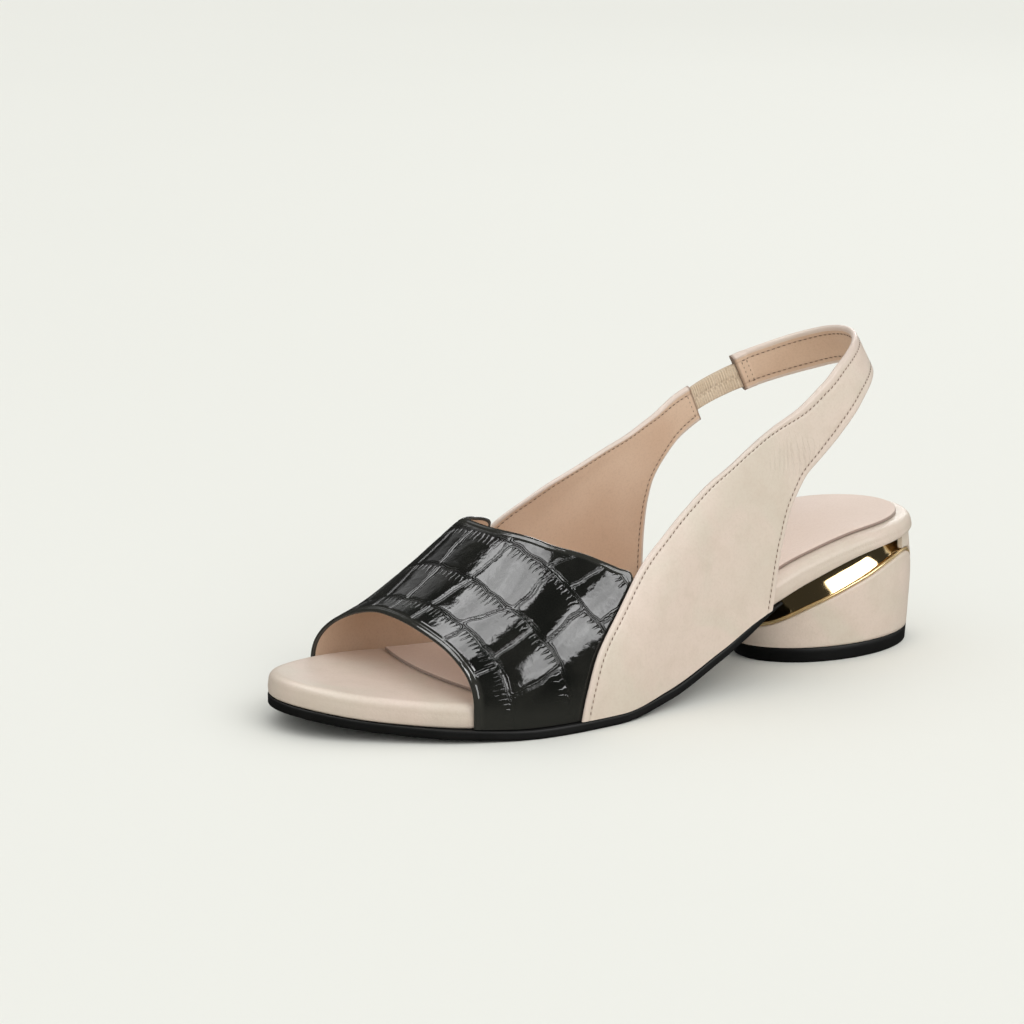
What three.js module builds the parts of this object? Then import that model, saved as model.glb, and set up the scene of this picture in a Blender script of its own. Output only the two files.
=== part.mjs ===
import * as THREE from 'three';

// Slingback sandal, left shoe, open toe, low block heel.
// Millimetres, +X to the toe, +Y to the outer side, +Z up, standing on the floor at z = 0.

// Driving sizes of the footbed and sole
const LENGTH = 245;
const BALL_HALF_WIDTH = 41.5;
const TOE_SWING = 15;
const SEAT_RISE = 36;
const TOE_SPRING = 7;
const HEEL_ROUND = 35;
const TOE_ROUND = 62;
const TOE_POWER = 2.2;
const OUTSOLE_THICKNESS = 3.2;
const OUTSOLE_WELT = 3;
const OUTSOLE_BEVEL = 0.5;
const OUTSOLE_SETBACK = 3;
const FOOTBED_THICKNESS = 7.8;
const FOOTBED_EDGE_RADIUS = 3.4;
const FOOTBED_TAPER = 2.8;
const TAPER_FULL_SHARE = 0.02;
const TAPER_END_SHARE = 0.31;
const SOCK_THICKNESS = 1;
const SOCK_INSET = 5.5;
const SOCK_LENGTH = 187.5;

// Driving sizes of the upper
const INSTEP_HEIGHT = 57.2;
const RIDGE_SHIFT = 16;
const STRAP_HEIGHT = 66;
const STRAP_LEAN = 24;
const LEAN_POWER = 1.5;
const LEAN_FULL_SHARE = 0.173;
const LEAN_END_SHARE = 0.418;
const HEEL_CURVE = 52;
const SIDE_WALL = 6;
const VAMP_THICKNESS = 1.5;
const LAP_THICKNESS = 1.3;
const QUARTER_THICKNESS = 2.1;
const TAB_LENGTH = 5;
const TAB_STEP = 0.6;
const ELASTIC_THICKNESS = 1.3;
const BEND_CLEARANCE = 0.15;

// Driving sizes of the heel
const HEEL_LENGTH = 70;
const HEEL_WIDTH = 50;
const HEEL_SETBACK = 33;
const LIFT_HEIGHT = 5.3;
const LIFT_BEVEL = 0.4;
const SHELL_RIM = 1.6;
const CUP_FLOOR = 9;
const BEAD_RADIUS = 0.55;
const BEAD_SETBACK = 0.1;

// Clearance that touching pieces keep
const GAP = 0.3;

// Footbed outline and sole line, heel to toe. at: share of LENGTH. half: share of BALL_HALF_WIDTH.
// swing: share of TOE_SWING towards the inner side. rise: share of SEAT_RISE. spring: share of TOE_SPRING.
const SOLE_ROWS = [
  { at: 0.0, half: 0.69, swing: 0.0, rise: 1.0, spring: 0.0 },
  { at: 0.12, half: 0.7, swing: 0.0, rise: 0.96, spring: 0.0 },
  { at: 0.25, half: 0.695, swing: -0.03, rise: 0.79, spring: 0.0 },
  { at: 0.35, half: 0.695, swing: -0.1, rise: 0.56, spring: 0.0 },
  { at: 0.42, half: 0.715, swing: -0.13, rise: 0.34, spring: 0.0 },
  { at: 0.52, half: 0.8, swing: -0.1, rise: 0.09, spring: 0.0 },
  { at: 0.61, half: 0.92, swing: 0.01, rise: 0.0, spring: 0.0 },
  { at: 0.73, half: 1.0, swing: 0.3, rise: 0.0, spring: 0.0 },
  { at: 0.82, half: 0.975, swing: 0.62, rise: 0.0, spring: 0.16 },
  { at: 0.92, half: 0.88, swing: 0.9, rise: 0.0, spring: 0.5 },
  { at: 1.0, half: 0.8, swing: 1.0, rise: 0.0, spring: 1.0 },
];

// How far the outsole stands out past the footbed. at: share of LENGTH. out: share of OUTSOLE_WELT.
const WELT_ROWS = [
  { at: 0.0, out: 0.1 },
  { at: 0.3, out: 0.3 },
  { at: 0.38, out: 0.7 },
  { at: 0.5, out: 1.0 },
  { at: 0.72, out: 1.0 },
  { at: 0.84, out: 0.55 },
  { at: 0.92, out: 0.15 },
  { at: 1.0, out: 0.1 },
];

// Sections of the last above the seat. at: share of LENGTH. high: share of INSTEP_HEIGHT.
// shift: share of RIDGE_SHIFT towards the inner side. round: exponent of the section's curve.
const LAST_ROWS = [
  { at: 0.0, high: 1.81, shift: 0.0, round: 2.4 },
  { at: 0.22, high: 1.87, shift: 0.0, round: 2.4 },
  { at: 0.34, high: 1.93, shift: 0.0, round: 2.4 },
  { at: 0.43, high: 1.69, shift: 0.18, round: 2.4 },
  { at: 0.5, high: 1.43, shift: 0.5, round: 2.35 },
  { at: 0.58, high: 1.19, shift: 0.88, round: 2.25 },
  { at: 0.66, high: 1.0, shift: 1.0, round: 2.25 },
  { at: 0.74, high: 0.735, shift: 0.98, round: 2.25 },
  { at: 0.82, high: 0.48, shift: 0.83, round: 2.25 },
  { at: 0.88, high: 0.35, shift: 0.71, round: 2.25 },
  { at: 1.0, high: 0.24, shift: 0.3, round: 2.25 },
];

// Front and rear edge of the vamp. turn: share of the way over the foot, outer side to inner side.
// front, rear: shares of LENGTH from the heel.
const VAMP_ROWS = [
  { turn: 0.0, front: 0.806, rear: 0.632 },
  { turn: 0.08, front: 0.807, rear: 0.598 },
  { turn: 0.13, front: 0.809, rear: 0.566 },
  { turn: 0.17, front: 0.812, rear: 0.556 },
  { turn: 0.24, front: 0.818, rear: 0.604 },
  { turn: 0.33, front: 0.824, rear: 0.65 },
  { turn: 0.49, front: 0.831, rear: 0.679 },
  { turn: 0.61, front: 0.84, rear: 0.671 },
  { turn: 0.75, front: 0.853, rear: 0.612 },
  { turn: 0.84, front: 0.861, rear: 0.61 },
  { turn: 0.92, front: 0.867, rear: 0.635 },
  { turn: 1.0, front: 0.87, rear: 0.655 },
];

// Edges of the outer quarter and its strap, from the sole up and round the heel. The top edge is
// the sweeping front line, the low edge the rear line. Runs: shares of LENGTH, measured forward
// round the heel's curve, negative on the inner side. Rises: shares of STRAP_HEIGHT over the seat.
const OUTER_ROWS = [
  { topRun: 0.742, topRise: 0, lowRun: 0.396, lowRise: 0 },
  { topRun: 0.733, topRise: 0.14, lowRun: 0.39, lowRise: 0.1 },
  { topRun: 0.714, topRise: 0.303, lowRun: 0.383, lowRise: 0.197 },
  { topRun: 0.678, topRise: 0.46, lowRun: 0.375, lowRise: 0.28 },
  { topRun: 0.628, topRise: 0.634, lowRun: 0.366, lowRise: 0.341 },
  { topRun: 0.585, topRise: 0.741, lowRun: 0.356, lowRise: 0.4 },
  { topRun: 0.543, topRise: 0.82, lowRun: 0.343, lowRise: 0.454 },
  { topRun: 0.491, topRise: 0.878, lowRun: 0.322, lowRise: 0.51 },
  { topRun: 0.413, topRise: 0.88, lowRun: 0.299, lowRise: 0.559 },
  { topRun: 0.336, topRise: 0.862, lowRun: 0.261, lowRise: 0.607 },
  { topRun: 0.268, topRise: 0.872, lowRun: 0.226, lowRise: 0.664 },
  { topRun: 0.214, topRise: 0.937, lowRun: 0.182, lowRise: 0.755 },
  { topRun: 0.169, topRise: 1.011, lowRun: 0.146, lowRise: 0.822 },
  { topRun: 0.121, topRise: 1.062, lowRun: 0.104, lowRise: 0.868 },
  { topRun: 0.07, topRise: 1.092, lowRun: 0.062, lowRise: 0.89 },
  { topRun: 0.018, topRise: 1.102, lowRun: 0.018, lowRise: 0.893 },
  { topRun: -0.035, topRise: 1.086, lowRun: -0.035, lowRise: 0.88 },
  { topRun: -0.094, topRise: 1.041, lowRun: -0.09, lowRise: 0.833 },
  { topRun: -0.147, topRise: 0.99, lowRun: -0.144, lowRise: 0.786 },
  { topRun: -0.2, topRise: 0.946, lowRun: -0.196, lowRise: 0.746 },
];

// Edges of the inner quarter, from the sole up to its squared end, same columns
const INNER_ROWS = [
  { topRun: -0.757, topRise: 0, lowRun: -0.437, lowRise: 0 },
  { topRun: -0.75, topRise: 0.144, lowRun: -0.437, lowRise: 0.1 },
  { topRun: -0.735, topRise: 0.334, lowRun: -0.436, lowRise: 0.19 },
  { topRun: -0.71, topRise: 0.534, lowRun: -0.434, lowRise: 0.29 },
  { topRun: -0.678, topRise: 0.703, lowRun: -0.43, lowRise: 0.39 },
  { topRun: -0.635, topRise: 0.808, lowRun: -0.424, lowRise: 0.47 },
  { topRun: -0.58, topRise: 0.888, lowRun: -0.412, lowRise: 0.55 },
  { topRun: -0.495, topRise: 0.916, lowRun: -0.388, lowRise: 0.605 },
  { topRun: -0.39, topRise: 0.881, lowRun: -0.347, lowRise: 0.65 },
  { topRun: -0.291, topRise: 0.88, lowRun: -0.287, lowRise: 0.68 },
];

// Edges of the elastic. along: share of the way from the strap's tab to the inner quarter's end.
// top, low: shares across those two ends, from their top edge to their low edge.
const ELASTIC_ROWS = [
  { along: 0.0, top: 0.22, low: 0.91 },
  { along: 0.5, top: 0.155, low: 0.82 },
  { along: 1.0, top: 0.07, low: 0.72 },
];

// Where a quarter stops lapping the vamp. row: step up its own table. across: share from its top edge.
const LAP_ENDS = { fullRow: 4.2, clearRow: 8, fullAcross: 0.16, clearAcross: 0.5 };

// Rows of the heel's oval. rise: share of SEAT_RISE. front, back: shares of HEEL_LENGTH from the
// heel's centre. half: share of HEEL_WIDTH.
const HEEL_ROWS = [
  { rise: 0.0, front: 0.49, back: 0.488, half: 0.46 },
  { rise: 0.35, front: 0.545, back: 0.496, half: 0.485 },
  { rise: 0.7, front: 0.555, back: 0.5, half: 0.505 },
  { rise: 1.1, front: 0.555, back: 0.475, half: 0.51 },
];

// Slanted top line of the heel's covered shell. turn: share of the half turn from front to back.
// rise: share of SEAT_RISE.
const SLANT_ROWS = [
  { turn: 0.0, rise: 0.333 },
  { turn: 0.167, rise: 0.43 },
  { turn: 0.333, rise: 0.59 },
  { turn: 0.5, rise: 0.785 },
  { turn: 0.61, rise: 0.895 },
  { turn: 0.7, rise: 0.94 },
  { turn: 0.75, rise: 0.925 },
  { turn: 0.8, rise: 0.845 },
  { turn: 0.85, rise: 0.71 },
  { turn: 0.91, rise: 0.6 },
  { turn: 1.0, rise: 0.54 },
];
const SPINE_TURN = 0.69;

// Mesh steps
const SOLE_STATIONS = 34;
const VAMP_STEPS = 12;
const VAMP_ARC_STEPS = 26;
const QUARTER_COLUMNS = 8;
const STRAP_STEPS_PER_ROW = 3;
const HEEL_STEPS = 48;
const BEAD_SIDES = 6;
const SMALL_TURN = 0.01;

// Monotone cubic curve through one column of a table
function columnCurve(rows, key, column) {
  const count = rows.length;
  const xs = rows.map((row) => row[key]);
  const ys = rows.map((row) => row[column]);
  const steep = [];
  for (let k = 0; k < count - 1; k += 1) steep.push((ys[k + 1] - ys[k]) / (xs[k + 1] - xs[k]));
  const slopes = xs.map((x, k) => {
    if (k === 0) return steep[0];
    if (k === count - 1) return steep[count - 2];
    if (steep[k - 1] * steep[k] <= 0) return 0;
    return (2 * steep[k - 1] * steep[k]) / (steep[k - 1] + steep[k]);
  });
  return (x) => {
    const at = Math.min(Math.max(x, xs[0]), xs[count - 1]);
    let k = 0;
    while (k < count - 2 && at > xs[k + 1]) k += 1;
    const span = xs[k + 1] - xs[k];
    const t = (at - xs[k]) / span;
    const blend = t * t * (3 - 2 * t);
    const lead = t * (1 - t) * (1 - t) * span * slopes[k];
    const trail = t * t * (1 - t) * span * slopes[k + 1];
    return ys[k] + (ys[k + 1] - ys[k]) * blend + lead - trail;
  };
}

function smoothStep(low, high, value) {
  const t = Math.min(Math.max((value - low) / (high - low), 0), 1);
  return t * t * (3 - 2 * t);
}

// One closed skin, gathered as triangles and turned so that its faces point out
class Skin {
  constructor() {
    this.corners = [];
  }

  triangle(a, b, c) {
    const area = b.clone().sub(a).cross(c.clone().sub(a)).length();
    if (area > 1e-7) this.corners.push(a, b, c);
  }

  quad(a, b, c, d) {
    this.triangle(a, b, c);
    this.triangle(a, c, d);
  }

  // Band between two rows of points, closed into a loop or open
  band(low, high, closed) {
    const count = low.length;
    const last = closed ? count : count - 1;
    for (let k = 0; k < last; k += 1) {
      const next = (k + 1) % count;
      this.quad(low[k], low[next], high[next], high[k]);
    }
  }

  geometry() {
    let volume = 0;
    for (let k = 0; k < this.corners.length; k += 3) {
      const [a, b, c] = this.corners.slice(k, k + 3);
      volume += a.dot(b.clone().cross(c));
    }
    if (volume < 0) this.corners.reverse();
    const geometry = new THREE.BufferGeometry().setFromPoints(this.corners);
    geometry.computeVertexNormals();
    return geometry;
  }
}

// Wall between an outer and an inner sheet of points, each a function of row and column
function wall(rowValues, columnValues, outerPoint, innerPoint) {
  const outer = rowValues.map((u) => columnValues.map((v) => outerPoint(u, v)));
  const inner = rowValues.map((u) => columnValues.map((v) => innerPoint(u, v)));
  const skin = new Skin();
  const lastRow = rowValues.length - 1;
  for (let k = 0; k < lastRow; k += 1) {
    skin.band(outer[k], outer[k + 1], false);
    skin.band(inner[k + 1], inner[k], false);
  }
  skin.band(inner[0], outer[0], false);
  skin.band(outer[lastRow], inner[lastRow], false);
  const side = (sheet, column) => sheet.map((row) => row[column]);
  const lastColumn = columnValues.length - 1;
  skin.band(side(outer, 0), side(inner, 0), false);
  skin.band(side(inner, lastColumn), side(outer, lastColumn), false);
  return skin.geometry();
}

// Closed loft through loops of paired points, left side then right side of one axis
function pairedLoft(loops) {
  const skin = new Skin();
  for (let k = 0; k < loops.length - 1; k += 1) skin.band(loops[k], loops[k + 1], true);
  const cap = (loop, turned) => {
    const half = loop.length / 2;
    const left = loop.slice(0, half);
    const right = loop.slice(half).reverse();
    if (turned) skin.band(right, left, false);
    else skin.band(left, right, false);
  };
  cap(loops[0], true);
  cap(loops[loops.length - 1], false);
  return skin.geometry();
}

function spread(count) {
  return Array.from({ length: count + 1 }, (_, k) => k / count);
}

// Footbed and sole line
const halfShare = columnCurve(SOLE_ROWS, 'at', 'half');
const swingShare = columnCurve(SOLE_ROWS, 'at', 'swing');
const riseShare = columnCurve(SOLE_ROWS, 'at', 'rise');
const springShare = columnCurve(SOLE_ROWS, 'at', 'spring');
const weltShare = columnCurve(WELT_ROWS, 'at', 'out');

function shareOf(x) {
  return x / LENGTH + 0.5;
}

function halfWidth(x) {
  return BALL_HALF_WIDTH * halfShare(shareOf(x));
}

function centreLine(x) {
  return -TOE_SWING * swingShare(shareOf(x));
}

function underside(x) {
  return SEAT_RISE * riseShare(shareOf(x)) + TOE_SPRING * springShare(shareOf(x));
}

function seatLine(x) {
  return underside(x) + OUTSOLE_THICKNESS + GAP;
}

function footbedTop(x) {
  return seatLine(x) + FOOTBED_THICKNESS;
}

// Footbed's underside, which rises towards the heel's back where the board is thinned
function footbedUnder(x) {
  return seatLine(x) + FOOTBED_TAPER * (1 - smoothStep(TAPER_FULL_SHARE, TAPER_END_SHARE, shareOf(x)));
}

// Share of the full width that the round heel and toe leave at x
function roundEnds(x, inset) {
  const fromHeel = x + LENGTH / 2 - inset;
  const fromToe = LENGTH / 2 - inset - x;
  const heel = Math.max(0, 1 - fromHeel / (HEEL_ROUND - inset));
  const toe = Math.max(0, 1 - fromToe / (TOE_ROUND - inset));
  return Math.sqrt(Math.max(0, 1 - heel * heel)) * Math.sqrt(Math.max(0, 1 - toe ** TOE_POWER));
}

// Loop round the footbed's outline, outer side then inner side, at a height given by x
function outlineLoop(from, to, insetAt, heightAt) {
  const stations = spread(SOLE_STATIONS).map((t) => {
    const eased = 0.5 - 0.5 * Math.cos(Math.PI * t);
    return from + (to - from) * eased;
  });
  const point = (side) => (x) => {
    const inset = insetAt(x);
    const end = Math.sign(x) * Math.max(0, Math.abs(x) - LENGTH / 2 + inset);
    const half = (halfWidth(x) - inset) * roundEnds(x - end, inset);
    return new THREE.Vector3(x, centreLine(x) + side * half, heightAt(x));
  };
  return [...stations.map(point(1)), ...stations.map(point(-1)).reverse()];
}

function footbed() {
  const loops = [];
  const loop = (inset, heightAt) => {
    const end = LENGTH / 2 - inset;
    loops.push(outlineLoop(-end, end, () => inset, heightAt));
  };
  loop(OUTSOLE_BEVEL, footbedUnder);
  loop(0, (x) => footbedUnder(x) + OUTSOLE_BEVEL);
  for (const turn of spread(4)) {
    const angle = (turn * Math.PI) / 2;
    const inset = FOOTBED_EDGE_RADIUS * (1 - Math.cos(angle));
    const drop = FOOTBED_EDGE_RADIUS * (1 - Math.sin(angle));
    loop(inset, (x) => footbedTop(x) - drop);
  }
  return pairedLoft(loops);
}

function outsole() {
  const from = heelFront(SEAT_RISE) + OUTSOLE_SETBACK;
  const out = (x) => OUTSOLE_WELT * weltShare(shareOf(x));
  const loop = (extra, heightAt) => {
    const to = LENGTH / 2 + out(LENGTH / 2) - extra;
    return outlineLoop(from, to, (x) => extra - out(x), heightAt);
  };
  const top = (x) => underside(x) + OUTSOLE_THICKNESS;
  return pairedLoft([
    loop(OUTSOLE_BEVEL, underside),
    loop(0, (x) => underside(x) + OUTSOLE_BEVEL),
    loop(0, top),
  ]);
}

function sock() {
  const from = -LENGTH / 2 + SOCK_INSET;
  const to = -LENGTH / 2 + SOCK_LENGTH;
  const low = (x) => footbedTop(x) + GAP;
  const high = (x) => low(x) + SOCK_THICKNESS;
  const inset = () => SOCK_INSET;
  return pairedLoft([outlineLoop(from, to, inset, low), outlineLoop(from, to, inset, high)]);
}

// The last: a section over the foot at x, and the same surface run round the heel
const highShare = columnCurve(LAST_ROWS, 'at', 'high');
const shiftShare = columnCurve(LAST_ROWS, 'at', 'shift');
const roundPower = columnCurve(LAST_ROWS, 'at', 'round');

function lastSection(x) {
  const ridge = centreLine(x) - RIDGE_SHIFT * shiftShare(shareOf(x));
  return {
    ridge,
    high: INSTEP_HEIGHT * highShare(shareOf(x)),
    power: roundPower(shareOf(x)),
    reach: (side, half) => half + GAP - side * (ridge - centreLine(x)),
  };
}

// Point of the last over the foot. over: 0 at the outer side wall's top, 1 at the inner one's.
function overFoot(x, over, wallShare) {
  const { ridge, high, power, reach } = lastSection(x);
  const angle = Math.PI * over;
  const side = Math.cos(angle) < 0 ? -1 : 1;
  const half = halfWidth(x) * roundEnds(x, 0);
  const across = Math.abs(Math.cos(angle)) ** (2 / power);
  const up = Math.max(0, Math.sin(angle)) ** (2 / power);
  const y = ridge + side * reach(side, half) * across;
  const z = seatLine(x) + BEND_CLEARANCE + SIDE_WALL * wallShare + (high - SIDE_WALL) * up;
  return new THREE.Vector3(x, y, z);
}

// Point of the last at a run forward from the heel's back and a rise over the seat
function roundHeel(run, rise) {
  const side = run < 0 ? -1 : 1;
  const turn = (Math.min(Math.abs(run) / HEEL_CURVE, 1) * Math.PI) / 2;
  const straight = Math.max(Math.abs(run) - HEEL_CURVE, 0);
  const x = -LENGTH / 2 + HEEL_ROUND * (1 - Math.cos(turn)) + straight;
  const { ridge, high, power, reach } = lastSection(x);
  const t = Math.min(Math.max((rise - SIDE_WALL) / (high - SIDE_WALL), 0), 0.999);
  const across = (1 - t ** power) ** (1 / power);
  const fade = 1 - smoothStep(LEAN_FULL_SHARE, LEAN_END_SHARE, shareOf(x));
  const lean = STRAP_LEAN * (Math.max(rise, 0) / STRAP_HEIGHT) ** LEAN_POWER * fade;
  const y = ridge + side * reach(side, halfWidth(x)) * across * Math.sin(turn);
  return new THREE.Vector3(x + lean, y, seatLine(x) + BEND_CLEARANCE + rise);
}

// Unit normal of a surface given as a function of two values, pointing away from the foot
function surfaceNormal(place, u, v, stepU, stepV, facing) {
  const alongU = place(u + stepU, v).sub(place(u - stepU, v));
  const alongV = place(u, v + stepV).sub(place(u, v - stepV));
  return alongU.cross(alongV).normalize().multiplyScalar(facing);
}

// Vamp: a band over the toes, its rear sides tucked under the quarters
const vampFront = columnCurve(VAMP_ROWS, 'turn', 'front');
const vampRear = columnCurve(VAMP_ROWS, 'turn', 'rear');
const VAMP_FOOT_SHARE = 1 / (VAMP_ARC_STEPS + 2);

function vampPlace(along, around) {
  const turn = Math.min(Math.max((around - VAMP_FOOT_SHARE) / (1 - 2 * VAMP_FOOT_SHARE), 0), 1);
  const nearest = Math.min(around, 1 - around);
  const wallShare = Math.min(Math.max(nearest / VAMP_FOOT_SHARE, 0), 1);
  const front = vampFront(turn);
  const x = LENGTH * (front + (vampRear(turn) - front) * along - 0.5);
  return overFoot(x, turn, wallShare);
}

function vamp() {
  const offset = (depth) => (u, v) => {
    const inside = Math.min(Math.max(v, SMALL_TURN / 2), 1 - SMALL_TURN / 2);
    const normal = surfaceNormal(vampPlace, u, inside, SMALL_TURN, SMALL_TURN / 3, 1);
    if (Math.min(v, 1 - v) < VAMP_FOOT_SHARE / 2) normal.setZ(0).normalize();
    return vampPlace(u, v).addScaledVector(normal, depth);
  };
  const rows = spread(VAMP_STEPS);
  const columns = spread(VAMP_ARC_STEPS + 2);
  return wall(rows, columns, offset(VAMP_THICKNESS), offset(0));
}

// Leather strip between two edge lines on the last, thick by inner and outer depth functions
function strip(table, rowValues, columnValues, innerDepth, outerDepth) {
  const line = (run, rise) => {
    const points = table.map((row) => new THREE.Vector2(row[run] * LENGTH, row[rise] * STRAP_HEIGHT));
    return new THREE.SplineCurve(points);
  };
  const top = line('topRun', 'topRise');
  const low = line('lowRun', 'lowRise');
  const place = (u, v) => {
    const at = Math.min(Math.max(u, 0), 1);
    const from = top.getPoint(at);
    const to = low.getPoint(at);
    const across = from.lerp(to, v);
    return roundHeel(across.x, across.y);
  };
  const facing = table[0].topRun < 0 ? 1 : -1;
  const offset = (depth) => (u, v) => {
    const normal = surfaceNormal(place, u, v, SMALL_TURN / 5, SMALL_TURN * 2, facing);
    if (u === 0) normal.setZ(0).normalize();
    return place(u, v).addScaledVector(normal, depth(u, v));
  };
  return wall(rowValues, columnValues, offset(outerDepth), offset(innerDepth));
}

// How far a quarter is lifted over the vamp that it laps, 1 at the lap and 0 away from it
function lapShare(u, v, rowCount) {
  const row = u * (rowCount - 1);
  const up = 1 - smoothStep(LAP_ENDS.fullRow, LAP_ENDS.clearRow, row);
  return up * (1 - smoothStep(LAP_ENDS.fullAcross, LAP_ENDS.clearAcross, v));
}

function quarterDepths(rowCount) {
  const lift = VAMP_THICKNESS + 1.5 * GAP;
  const inner = (u, v) => lift * lapShare(u, v, rowCount);
  const outer = (u, v) => {
    const lap = lapShare(u, v, rowCount);
    return inner(u, v) + QUARTER_THICKNESS + (LAP_THICKNESS - QUARTER_THICKNESS) * lap;
  };
  return { inner, outer };
}

function outerQuarterStrap() {
  const rowCount = OUTER_ROWS.length;
  const { inner, outer } = quarterDepths(rowCount);
  const tabRun = (OUTER_ROWS[rowCount - 2].topRun - OUTER_ROWS[rowCount - 1].topRun) * LENGTH;
  const tabStart = 1 - TAB_LENGTH / tabRun / (rowCount - 1);
  const inTab = (u) => (u > tabStart ? TAB_STEP : 0);
  const steps = (rowCount - 1) * STRAP_STEPS_PER_ROW;
  const plain = spread(steps).filter((u) => u < tabStart - 0.5 / steps);
  const rows = [...plain, tabStart, tabStart + SMALL_TURN / 10, 1];
  return strip(
    OUTER_ROWS,
    rows,
    spread(QUARTER_COLUMNS),
    (u, v) => inner(u, v) - inTab(u),
    (u, v) => outer(u, v) + inTab(u),
  );
}

function innerQuarter() {
  const { inner, outer } = quarterDepths(INNER_ROWS.length);
  const rows = spread((INNER_ROWS.length - 1) * 2);
  return strip(INNER_ROWS, rows, spread(QUARTER_COLUMNS), inner, outer);
}

// Rows of the elastic, from the two ends that it joins and the clearance to each
function elasticRows() {
  const tab = OUTER_ROWS[OUTER_ROWS.length - 1];
  const end = INNER_ROWS[INNER_ROWS.length - 1];
  const clear = GAP / LENGTH;
  const between = (low, high, share) => low + (high - low) * share;
  const run = (along, across) => {
    const from = between(tab.topRun, tab.lowRun, across) - clear;
    const to = between(end.topRun, end.lowRun, across) + clear;
    return between(from, to, along);
  };
  const rise = (along, across) => {
    const from = between(tab.topRise, tab.lowRise, across);
    const to = between(end.topRise, end.lowRise, across);
    return between(from, to, along);
  };
  return ELASTIC_ROWS.map(({ along, top, low }) => ({
    topRun: run(along, top),
    topRise: rise(along, top),
    lowRun: run(along, low),
    lowRise: rise(along, low),
  }));
}

function elastic() {
  const inner = (QUARTER_THICKNESS - ELASTIC_THICKNESS) / 2;
  return strip(elasticRows(), spread(6), spread(4), () => inner, () => inner + ELASTIC_THICKNESS);
}

// Heel: an oval that changes with height, its covered shell cut on the slant
const heelFrontShare = columnCurve(HEEL_ROWS, 'rise', 'front');
const heelBackShare = columnCurve(HEEL_ROWS, 'rise', 'back');
const heelHalfShare = columnCurve(HEEL_ROWS, 'rise', 'half');
const slantShare = columnCurve(SLANT_ROWS, 'turn', 'rise');
const HEEL_CENTRE = -LENGTH / 2 + HEEL_SETBACK;

function heelFront(z) {
  return HEEL_CENTRE + HEEL_LENGTH * heelFrontShare(z / SEAT_RISE);
}

// Point of the heel's outside. turn: 0 at the front, 1 at the back, negative on the inner side.
function heelPoint(turn, z, inset) {
  const angle = Math.PI * turn;
  const rise = z / SEAT_RISE;
  const share = Math.cos(angle) > 0 ? heelFrontShare(rise) : heelBackShare(rise);
  const x = HEEL_CENTRE + (HEEL_LENGTH * share - inset) * Math.cos(angle);
  const y = (HEEL_WIDTH * heelHalfShare(rise) - inset) * Math.sin(angle);
  return new THREE.Vector3(x, y, z);
}

function slantHeight(turn) {
  return SEAT_RISE * slantShare(Math.abs(turn));
}

// Height of the footbed's underside over the heel, less a clearance
function seatUnder(turn) {
  let z = SEAT_RISE;
  for (let k = 0; k < 4; k += 1) z = footbedUnder(heelPoint(turn, z, 0).x) - GAP;
  return z;
}

// Loop round the heel, outer side front to back, then inner side back to front
function heelLoop(heightAt, inset) {
  const turns = spread(HEEL_STEPS / 2);
  const point = (side) => (turn) => heelPoint(side * turn, heightAt(turn), inset);
  return [...turns.map(point(1)), ...turns.map(point(-1)).reverse()];
}

function topLift() {
  return pairedLoft([
    heelLoop(() => 0, LIFT_BEVEL),
    heelLoop(() => LIFT_BEVEL, 0),
    heelLoop(() => LIFT_HEIGHT, 0),
  ]);
}

function heelShell() {
  const foot = LIFT_HEIGHT + GAP;
  const loops = spread(5).map((t) => heelLoop((turn) => foot + (slantHeight(turn) - foot) * t, 0));
  loops.push(heelLoop(slantHeight, SHELL_RIM));
  loops.push(heelLoop((turn) => (slantHeight(turn) + CUP_FLOOR) / 2, SHELL_RIM));
  loops.push(heelLoop(() => CUP_FLOOR, SHELL_RIM));
  return pairedLoft(loops);
}

function heelCore() {
  const foot = CUP_FLOOR + GAP;
  const inset = SHELL_RIM + 2 * GAP;
  const loops = spread(5).map((t) => heelLoop((turn) => foot + (seatUnder(turn) - foot) * t, inset));
  return pairedLoft(loops);
}

// Height of the bead's centre over the shell's rim, more where the rim runs steeply
function beadHeight(turn, over) {
  const next = turn + SMALL_TURN;
  const last = turn - SMALL_TURN;
  const ahead = heelPoint(next, slantHeight(Math.min(next, 1)), 0);
  const behind = heelPoint(last, slantHeight(Math.max(last, 0)), 0);
  const climb = ahead.z - behind.z;
  const level = Math.hypot(ahead.x - behind.x, ahead.y - behind.y);
  return slantHeight(turn) + over * Math.hypot(1, climb / level);
}

function heelBead() {
  const inset = BEAD_RADIUS + BEAD_SETBACK;
  const over = BEAD_RADIUS + 1.5 * GAP;
  const centre = (turn) => heelPoint(turn, beadHeight(Math.abs(turn), over), inset);
  const loops = [];
  for (let k = 0; k < HEEL_STEPS; k += 1) {
    const turn = (2 * k) / HEEL_STEPS - 1;
    const step = 2 / HEEL_STEPS;
    const wrap = (value) => value - 2 * Math.floor((value + 1) / 2);
    const along = centre(wrap(turn + step)).sub(centre(wrap(turn - step))).normalize();
    const middle = centre(turn);
    const angle = Math.PI * turn;
    const outward = new THREE.Vector3(Math.cos(angle) / HEEL_LENGTH, Math.sin(angle) / HEEL_WIDTH, 0);
    outward.addScaledVector(along, -outward.dot(along)).normalize();
    const upward = along.clone().cross(outward);
    const loop = spread(BEAD_SIDES).slice(0, BEAD_SIDES).map((t) => {
      const around = 2 * Math.PI * t;
      const arm = outward.clone().multiplyScalar(Math.cos(around));
      arm.addScaledVector(upward, Math.sin(around));
      return middle.clone().addScaledVector(arm, BEAD_RADIUS);
    });
    loops.push(loop);
  }
  const skin = new Skin();
  loops.forEach((loop, k) => skin.band(loop, loops[(k + 1) % loops.length], true));
  return skin.geometry();
}

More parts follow.
